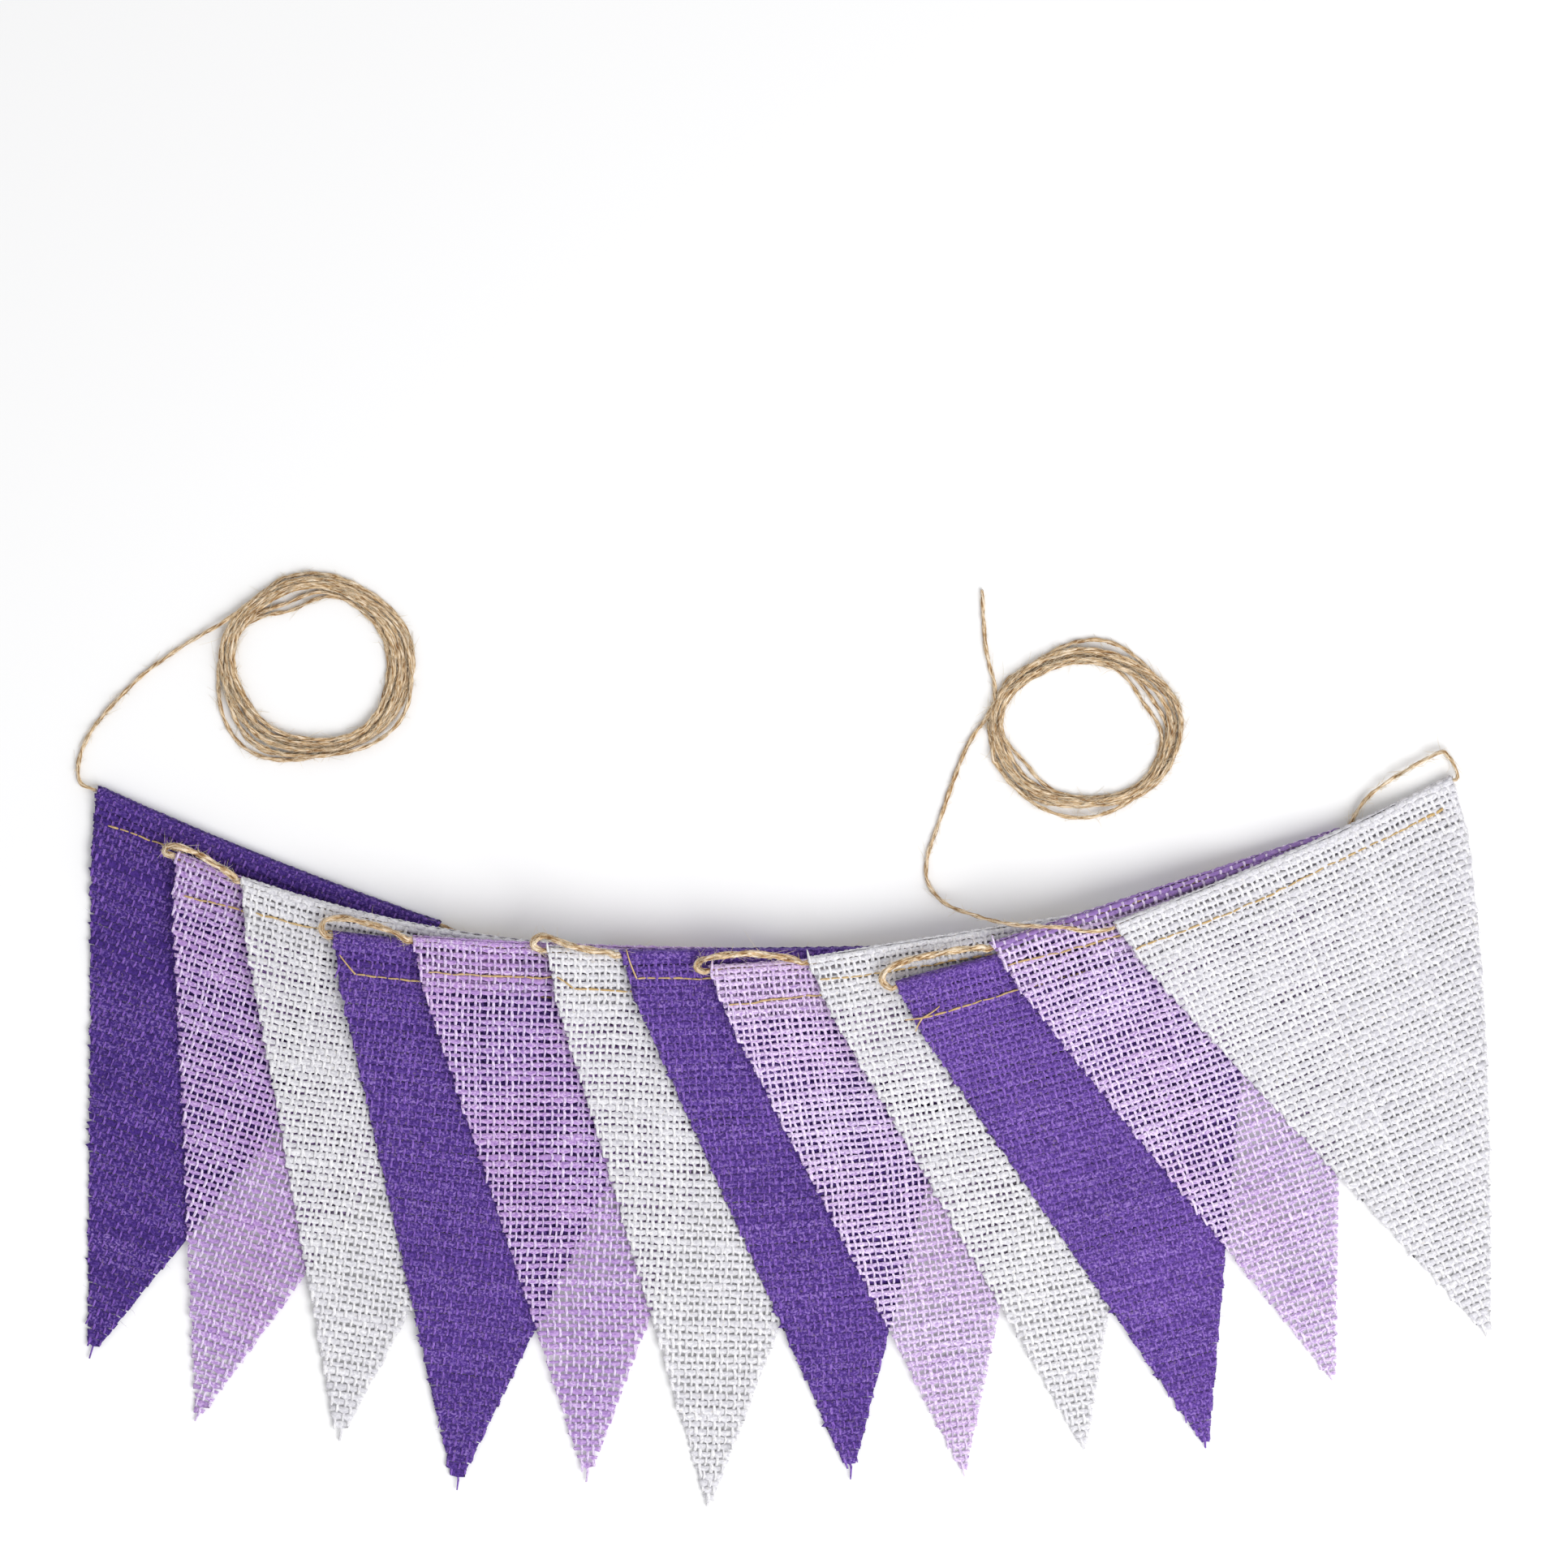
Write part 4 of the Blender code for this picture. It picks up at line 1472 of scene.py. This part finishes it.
    def _tone(self) -> float:
        """Lightness of one thread, with its pennant's painted light added."""
        tone = self.rng.normal(self.TONE + self.plan.fade, self.TONE_VARIES)
        return float(np.clip(tone, *self.TONE_RANGE))

    def cut_size(self) -> tuple[tuple[float, float], float]:
        """The size of the flat cut.

        Returns:
            Its width and length in metres, and its area in square metres.
        """
        run = np.linspace(0.0, self.path_length, 400)
        left, right = self._cut(run)
        widths = right - left
        area = float(np.mean(widths)) * self.path_length
        return (HEM_WIDTH * MM, self.path_length * MM), area * MM * MM


class Finishes:
    """Materials that are made once and shared."""

    _made: dict[str, bpy.types.Material] = {}

    @classmethod
    def get(cls, finish: YarnFinish) -> bpy.types.Material:
        """The material of a finish.

        Args:
            finish: The finish.

        Returns:
            Its material, made when it is first asked for.
        """
        if finish.name not in cls._made:
            cls._made[finish.name] = finish.material()
        return cls._made[finish.name]


@dataclass
class TwistedTwine:
    """Jute twine of two plies.

    Args:
        name: The piece's name.
        route: Its middle line in millimetres.
        diameter: Its thickness.
        swell: How much thicker it is where no hem squeezes it.
        slim_from: The x past which it is slimmer.
        seed: Seed of its unevenness.
    """

    name: str
    route: np.ndarray
    diameter: float
    swell: float
    slim_from: float = math.inf
    seed: int = 5

    # In diameters: the length of one full turn of the plies, and a ply's radius
    LAY = 10.0
    PLY = 0.35
    # How much slimmer it is past slim_from, and over what distance that comes
    SLIMMER = 0.5
    SLIM_SPAN = 25.0
    # Points over which it swells after a hem
    SWELL_POINTS = 7
    # A ply's sides, its share of size at the very ends, and the range of its lightness
    PLY_SIDES = 5
    PLY_END = 0.6
    PLY_TONES = (0.5, 0.8)
    # Unevenness: over what distance, and how much of a turn or of the thickness
    TWIST_DRIFT = (25.0, 0.9)
    SLUBS = (7.0, 0.17)
    LUMPS = (2.4, 0.09)

    def build(self) -> bpy.types.Object:
        """Twist the plies along the route.

        Returns:
            The twine.
        """
        rng = np.random.default_rng(self.seed)
        strands = YarnMesh(map_rows=60)
        path = self.route
        side, above = frame_along(path)
        run = runs_along(path)
        turn = math.tau * run / (self.LAY * self.diameter) + wander(rng, run, *self.TWIST_DRIFT)
        ply = self.PLY * self.diameter
        free = (~TwineRoute.in_hem(path)).astype(float)
        soften = np.ones(self.SWELL_POINTS) / self.SWELL_POINTS
        bulk = 1 + self.swell * np.convolve(free, soften, mode="same")
        bulk -= self.SLIMMER * smoothstep((path[:, 0] - self.slim_from) / self.SLIM_SPAN)
        for start in (0.0, math.pi):
            uneven = 1 + wander(rng, run, *self.SLUBS) + wander(rng, run, *self.LUMPS)
            away = side * np.cos(turn + start)[:, None] + above * np.sin(turn + start)[:, None]
            middle = path + away * ((self.diameter / 2 - ply) * bulk)[:, None]
            size = ply * uneven * bulk
            size[[0, -1]] *= self.PLY_END
            tone = float(rng.uniform(*self.PLY_TONES))
            strands.add(middle, side, above, size, size, self.PLY_SIDES, tone, 1.0)
        return strands.build(self.name, Finishes.get(TWINE_FINISH))


@dataclass
class Lint:
    """Loose fibres that stand off yarn.

    Args:
        name: The piece's name.
        finish: Its finish.
        seed: Seed of its unevenness.
    """

    name: str
    finish: YarnFinish
    seed: int

    SIDES = 3
    BEND = 0.28
    TAPER = (1.0, 0.9, 0.7, 0.35)
    TONES = (0.4, 1.0)
    # On twine: half thickness, length's shape, scale and least, the root, and how it leans
    TWINE_THICK = 0.085
    TWINE_LENGTH = (2.0, 0.9, 1.0)
    TWINE_ROOT = 0.38
    TWINE_LEAN = 0.3
    TWINE_SCATTER = 0.22
    # On cloth: the same, with how far it keeps from tip and fold, and its rise
    CLOTH_THICK = 0.04
    CLOTH_LENGTH = (2.0, 0.6, 0.3)
    CLOTH_ROOT = 0.3
    CLOTH_MARGIN = 2.0
    CLOTH_RISE = (0.15, 0.3)
    # A cut thread end: half its width at four points, and its root across and below the fold
    TAG_TAPER = (0.42, 0.48, 0.4, 0.2)
    TAG_ROOT = (1.2, 2.6)

    def __post_init__(self) -> None:
        """Start with no fibres."""
        self.rng = np.random.default_rng(self.seed)
        self.mesh = YarnMesh(map_rows=30)

    def build(self) -> bpy.types.Object:
        """Write the fibres as one mesh."""
        return self.mesh.build(self.name, Finishes.get(self.finish))

    def _length(self, shape: float, scale: float, least: float) -> float:
        """A random fibre length."""
        return float(self.rng.gamma(shape, scale)) + least

    def fibre(self, root: np.ndarray, heading: np.ndarray, length: float, thick: float) -> None:
        """Add one curved fibre that tapers to its end.

        Args:
            root: Where it leaves the yarn.
            heading: Its direction there.
            length: How long it is.
            thick: Half its thickness at the root.
        """
        bend = self.rng.normal(0.0, self.BEND, 3)
        t = np.linspace(0.0, 1.0, 4)[:, None]
        middle = root + heading * length * t + bend * length * t ** 2
        middle[:, 2] = np.maximum(middle[:, 2], thick)
        side, above = frame_along(middle, UP + 0.01)
        size = thick * np.array(self.TAPER)
        tone = float(self.rng.uniform(*self.TONES))
        self.mesh.add(middle, side, above, size, size, self.SIDES, tone, 1.0)

    def along_twine(self, route: np.ndarray, diameter: float, spacing: float) -> None:
        """Scatter fibres over a stretch of twine.

        Args:
            route: The twine's middle line.
            diameter: Its thickness.
            spacing: Mean distance from fibre to fibre.
        """
        free = np.nonzero(~TwineRoute.in_hem(route[:-1]))[0][1:]
        count = int(len(free) * TWINE_STEP / spacing)
        for index in self.rng.choice(free, count):
            line = unit(route[index + 1] - route[index - 1])
            out = unit(np.cross(line, self.rng.normal(0.0, 1.0, 3)))
            out[2] = abs(out[2])
            root = route[index] + out * diameter * self.TWINE_ROOT
            lean = self.TWINE_LEAN * out + line * self.rng.choice((-1.0, 1.0))
            heading = unit(lean + self.rng.normal(0.0, self.TWINE_SCATTER, 3))
            length = self._length(*self.TWINE_LENGTH)
            self.fibre(root, heading, length, self.TWINE_THICK)

    def over_cloth(self, pennant: Pennant, count: int, edges: int) -> None:
        """Scatter fibres over a pennant's face and along its raw sides.

        Args:
            pennant: The pennant.
            count: Number of fibres on its face.
            edges: Number of fibres at its sides.
        """
        plan = pennant.plan
        least, spread = self.CLOTH_RISE
        for index in range(count + edges):
            lowest, highest = plan.fray + self.CLOTH_MARGIN, plan.length - self.CLOTH_MARGIN
            run = self.rng.uniform(lowest, highest)
            half = float(plan.half_width(plan.length - run))
            sign = self.rng.choice((-1.0, 1.0)) if index < edges else self.rng.uniform(-1, 1)
            across = HEM_WIDTH / 2 + sign * half
            point, outward = pennant.surface(np.array((across,)), np.array((run,)))
            flat = self.rng.normal(0.0, 1.0, 2)
            heading = unit(np.array((*flat, least + spread * abs(self.rng.normal()))))
            if index < edges:
                heading = unit(np.array((*(plan.along * sign), 0.1)) + 0.5 * heading)
            root = point[0] + outward[0] * self.CLOTH_ROOT
            length = self._length(*self.CLOTH_LENGTH)
            self.fibre(root, heading, length, self.CLOTH_THICK)

    def corner_tag(self, pennant: Pennant, length: float) -> None:
        """Leave a cut thread end standing out above the left corner of a hem.

        Args:
            pennant: The pennant.
            length: How long the thread end is.
        """
        across, depth = self.TAG_ROOT
        point, _ = pennant.surface(np.array((across,)), np.array((pennant.plan.length - depth,)))
        heading = unit(np.array((*(-pennant.plan.down), 0.0)) + self.rng.normal(0.0, 0.15, 3))
        root = point[0] + np.array((0.0, 0.0, 0.5))
        line = root + heading * length * np.linspace(0.0, 1.0, 4)[:, None]
        side, above = frame_along(line)
        size = np.array(self.TAG_TAPER)
        self.mesh.add(line, side, above, size, size, 5, 1.0, 1.0)


@dataclass
class HemStitching:
    """A row of machine stitches through a hem.

    Args:
        pennant: The pennant that it holds.
        thickness: Thickness of the thread.
    """

    pennant: Pennant
    thickness: float = 0.66

    ROWS = {
        # number: first stitch from the left end, its depth, a later place, the depth there
        1: (7.6, 11.6, 29.7, 10.1),
        2: (6.9, 13.6, 26.2, 11.4),
        3: (6.8, 11.2, 34.4, 9.5),
        4: (9.5, 13.5, 30.3, 13.9),
        5: (5.9, 12.3, 45.4, 12.4),
        6: (4.0, 11.0, 10.5, 14.8),
        7: (5.2, 10.1, 30.0, 10.1),
        8: (5.1, 14.1, 31.2, 12.8),
        9: (3.4, 8.8, 25.5, 9.6),
        10: (6.3, 14.6, 35.3, 13.9),
        11: (3.4, 10.0, 38.6, 11.5),
        12: (3.4, 11.9, 122.5, 9.5),
    }
    TAILS = {
        # number: length of each loose end and its heading, in degrees up from the row's left
        4: ((8.5, 42.0),),
        7: ((10.5, 70.0),),
        10: ((6.0, 8.0), (5.0, -38.0), (7.0, 168.0)),
    }
    # Height of the thread over the cloth at five places along a stitch
    RISE = (-0.35, 0.48, 0.64, 0.64, 0.48)
    STITCH_LENGTHS = (2.8, 5.2)
    MOST_STITCHES = 60
    # Unevenness of the row and of the thread: over what distance, and how much
    ROW_DRIFT = (24.0, 0.5)
    ROW_JITTER = (3.0, 0.3)
    # The last stitches, sewn twice: how much thicker, over what length, and how soon
    SEWN_TWICE = (0.7, 12.0, 3.0)
    SIDES = 5
    # A loose end: its points, its bend, its height over the cloth, its arch and its taper
    TAIL_POINTS = 9
    TAIL_BEND = (-0.25, 0.25)
    TAIL_LIFT = 0.75
    TAIL_ARCH = 0.5
    TAIL_TAPER = (1.0, 0.7)

    def _across(self, rng: np.random.Generator) -> np.ndarray:
        """Places along the hem, five for each stitch, with stitches of uneven length.

        Args:
            rng: The source of its unevenness.

        Returns:
            Distances from the hem's left end.
        """
        plan = self.pennant.plan
        first, depth, _, _ = self.ROWS[plan.number]
        last = HEM_WIDTH / 2 + float(plan.half_width(depth)) - 1.0
        lengths = rng.uniform(*self.STITCH_LENGTHS, self.MOST_STITCHES)
        ends = first + np.concatenate(((0.0,), np.cumsum(lengths)))
        ends = ends[ends < last]
        shares = np.linspace(0.0, 1.0, len(self.RISE), endpoint=False)
        return (ends[:-1, None] + np.diff(ends)[:, None] * shares).ravel()

    def build(self) -> bpy.types.Object:
        """Sew the row and its loose ends.

        Returns:
            The thread.
        """
        plan = self.pennant.plan
        rng = np.random.default_rng(400 + plan.number)
        thread = YarnMesh(map_rows=12)
        first, depth, later, later_depth = self.ROWS[plan.number]
        across = self._across(rng)
        rows = np.interp(across, (first, later), (depth, later_depth))
        rows += wander(rng, across, *self.ROW_DRIFT) + wander(rng, across, *self.ROW_JITTER)
        points, outward = self.pennant.surface(across, plan.length - rows)
        points = points + outward * np.resize(self.RISE, len(across))[:, None]
        side, above = frame_along(points)
        twice, length, ease = self.SEWN_TWICE
        thicker = twice * smoothstep((across - across[-1] + length) / ease)
        size = self.thickness / 2 * (1 + thicker + wander(rng, across, *self.ROW_JITTER))
        thread.add(points, side, above, size, size, self.SIDES, 0.6, 1.0)
        for length, turn in self.TAILS.get(plan.number, ()):
            self._tail(thread, points[0], length, math.radians(turn), rng)
        return thread.build(f"stitching_{plan.number:02d}", Finishes.get(THREAD_FINISH))

    def _tail(
        self, thread: YarnMesh, start: np.ndarray, length: float, turn: float,
        rng: np.random.Generator,
    ) -> None:
        """Add a loose end that curls away from the row.

        Args:
            thread: The mesh that it joins.
            start: Where it leaves the row.
            length: How long it is.
            turn: Its heading, up from the row's left.
            rng: The source of its unevenness.
        """
        plan = self.pennant.plan
        t = np.linspace(0.0, 1.0, self.TAIL_POINTS)
        flat = -plan.along * math.cos(turn) - plan.down * math.sin(turn)
        bend = plan.along * math.sin(turn) - plan.down * math.cos(turn)
        places = start[:2] + np.outer(t, flat) * length
        places = places + np.outer(t * t, bend) * float(rng.uniform(*self.TAIL_BEND)) * length
        depth, across = plan.hem_depth(places), plan.across(places)
        droop = depth - plan.hem_depth(plan.place(across, depth)) + depth
        points, _ = self.pennant.surface(across, plan.length - np.maximum(droop, 1.0))
        arch = self.TAIL_LIFT + self.TAIL_ARCH * np.sin(t * math.pi)
        middle = np.column_stack((places, points[:, 2] + arch))
        side, above = frame_along(middle)
        size = self.thickness / 2 * np.linspace(*self.TAIL_TAPER, len(t))
        thread.add(middle, side, above, size, size, self.SIDES, 0.9, 1.0)


@dataclass(frozen=True)
class Studio:
    """The floor, the light and the camera.

    Args:
        frame_width: Width of the surface that the picture shows, in metres.
        look_at: The middle of the picture on the surface.
        distance: Height of the camera.
        sensor: Width of the camera's sensor in millimetres.
        floor_size: Half the floor's width.
        floor_drop: How far the floor lies below the bunting.
        lamp_place: Where the lamp is.
        lamp_aim: The point that it shines at.
        lamp_size: Width of its disc.
        lamp_power: Its power in watts.
        surround: Strength of the white surround.
    """

    frame_width: float = 0.5381
    look_at: tuple[float, float] = (-0.0017, 0.1228)
    distance: float = 3.0
    sensor: float = 36.0
    floor_size: float = 4.0
    floor_drop: float = 0.0002
    lamp_place: tuple[float, float, float] = (0.62, -0.6, 1.25)
    lamp_aim: tuple[float, float, float] = (0.0, 0.05, 0.0)
    lamp_size: float = 1.2
    lamp_power: float = 18.4
    surround: float = 0.68

    def build(self) -> None:
        """Set up the whole studio."""
        self._camera()
        self._floor()
        self._light()

    def _camera(self) -> None:
        """A long lens that looks straight down, as the photograph does."""
        data = bpy.data.cameras.new("overhead")
        data.sensor_width = self.sensor
        data.lens = self.sensor * self.distance / self.frame_width
        data.clip_end = 20.0
        camera = bpy.data.objects.new("overhead", data)
        camera.location = (*self.look_at, self.distance)
        bpy.context.scene.collection.objects.link(camera)
        bpy.context.scene.camera = camera

    def _floor(self) -> None:
        """A pale sheet of floor."""
        sheet = bmesh.new()
        bmesh.ops.create_grid(sheet, x_segments=1, y_segments=1, size=self.floor_size)
        bmesh.ops.translate(sheet, vec=(0.0, 0.0, -self.floor_drop), verts=sheet.verts)
        mesh = bpy.data.meshes.new("floor")
        sheet.to_mesh(mesh)
        sheet.free()
        tree = NodeTree("pale_floor")
        tree.set(Base_Color=(0.90, 0.90, 0.905, 1.0), Roughness=0.9, Specular_IOR_Level=0.1)
        mesh.materials.append(tree.material)
        floor = bpy.data.objects.new("floor", mesh)
        bpy.context.scene.collection.objects.link(floor)

    def _light(self) -> None:
        """Soft light from a large panel to one side and an even surround."""
        world = bpy.data.worlds.new("surround")
        world.use_nodes = True
        background = world.node_tree.nodes["Background"]
        background.inputs["Color"].default_value = (1.0, 1.0, 1.0, 1.0)
        background.inputs["Strength"].default_value = self.surround
        bpy.context.scene.world = world
        panel = bpy.data.lights.new("panel", "AREA")
        panel.shape = "DISK"
        panel.size = self.lamp_size
        panel.energy = self.lamp_power
        lamp = bpy.data.objects.new("panel", panel)
        lamp.location = self.lamp_place
        aim = np.array(self.lamp_aim) - np.array(lamp.location)
        lamp.rotation_euler = (
            math.acos(-aim[2] / float(np.linalg.norm(aim))), 0.0, math.atan2(-aim[0], aim[1]),
        )
        bpy.context.scene.collection.objects.link(lamp)
        bpy.context.scene.view_settings.view_transform = "Standard"


class Bunting:
    """The whole bunting: its twine, its pennants and their sewing."""

    # Lengths of the cut thread ends at the hems' left corners, by number
    TAGS = {2: 3.0, 3: 2.4, 6: 3.6, 8: 4.6, 9: 5.0, 11: 4.6}
    # Distance from fibre to fibre on the twine, in the hems and in the coils
    FUZZ_IN_HEMS = 0.40
    FUZZ_IN_COILS = 0.85
    FACE_FIBRES = 30
    EDGE_FIBRES = 14
    # Points of a coil that a lead or the loose end takes the place of
    JOIN = 4

    def build(self) -> None:
        """Build every piece, the twine first."""
        self.twine()
        beneath: Optional[Pennant] = None
        for plan in PLANS:
            beneath = self.pennant(plan, beneath)

    def twine(self) -> None:
        """The twine in its three stretches, with its fuzz."""
        middle = smooth_route(TwineRoute.through_hems(), TWINE_STEP)
        left_in, right_in = TwineRoute.meeting(PLANS[0]), TwineRoute.meeting(PLANS[-1])
        left_turns = LEFT_COIL.route()[self.JOIN:]
        right_turns = RIGHT_COIL.route()[self.JOIN:-self.JOIN]
        left = np.vstack((left_in, LEFT_LEAD[::-1], left_turns))
        right = np.vstack((right_in, RIGHT_LEAD[::-1], right_turns, LOOSE_END))
        left, right = smooth_route(left, TWINE_STEP), smooth_route(right, TWINE_STEP)
        self._cord("twine_in_hems", middle, HEM_TWINE, "loose", ("twine_hem_run",))
        self._cord("twine_left", left, COIL_TWINE, "coiled",
                   ("twine_left_lead", "twine_left_coil"))
        self._cord("twine_right", right, COIL_TWINE, "coiled",
                   ("twine_right_lead", "twine_right_coil", "twine_loose_end"))

    def _cord(
        self, name: str, route: np.ndarray, diameter: float, lay: str,
        nodes: Iterable[str],
    ) -> None:
        """Args:
            name: The piece's name.
            route: Its middle line.
            diameter: Its thickness.
            lay: How it lies.
            nodes: The solids that it stands for.
        """
        hemmed = lay == "loose"
        swell = LOOSE_SWELL if hemmed else COIL_SWELL
        slim_from = LAST_LOOP_FROM if hemmed else math.inf
        piece = TwistedTwine(name, route, diameter, swell, slim_from).build()
        lint = Lint(f"{name}_fuzz", FIBRE_FINISH, seed=len(name))
        spacing = self.FUZZ_IN_HEMS if hemmed else self.FUZZ_IN_COILS
        lint.along_twine(route, diameter * (1 + swell), spacing)
        fuzz = lint.build()
        for part in (piece, fuzz):
            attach(part, ROOT)
        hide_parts(*nodes)

    def pennant(self, plan: PennantPlan, beneath: Optional[Pennant]) -> Pennant:
        """Args:
            plan: Where it lies.
            beneath: The pennant that it rests on.

        Returns:
            The pennant.
        """
        pennant = Pennant(plan)
        piece = pennant.build()
        stitches = HemStitching(pennant).build()
        lint = Lint(f"lint_{plan.number:02d}", CLOTH_FINISHES[plan.dye], seed=700 + plan.number)
        lint.over_cloth(pennant, self.FACE_FIBRES, self.EDGE_FIBRES)
        if plan.number in self.TAGS:
            lint.corner_tag(pennant, self.TAGS[plan.number])
        fluff = lint.build()
        for part in (piece, fluff):
            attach(part, ROOT)
        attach(stitches, ROOT)
        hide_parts(plan.name)
        flat, area = pennant.cut_size()
        return pennant


def write_sizes() -> None:
    """Bring the view layer up to date."""
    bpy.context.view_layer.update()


def main() -> None:
    """Build the studio and the bunting, and report each piece."""
    logging.basicConfig(level=logging.INFO, format="%(message)s")
    Studio().build()
    Bunting().build()
    write_sizes()
    LOG.info("all pieces: %d triangles", Tally.total)


if __name__ == "__main__":
    main()
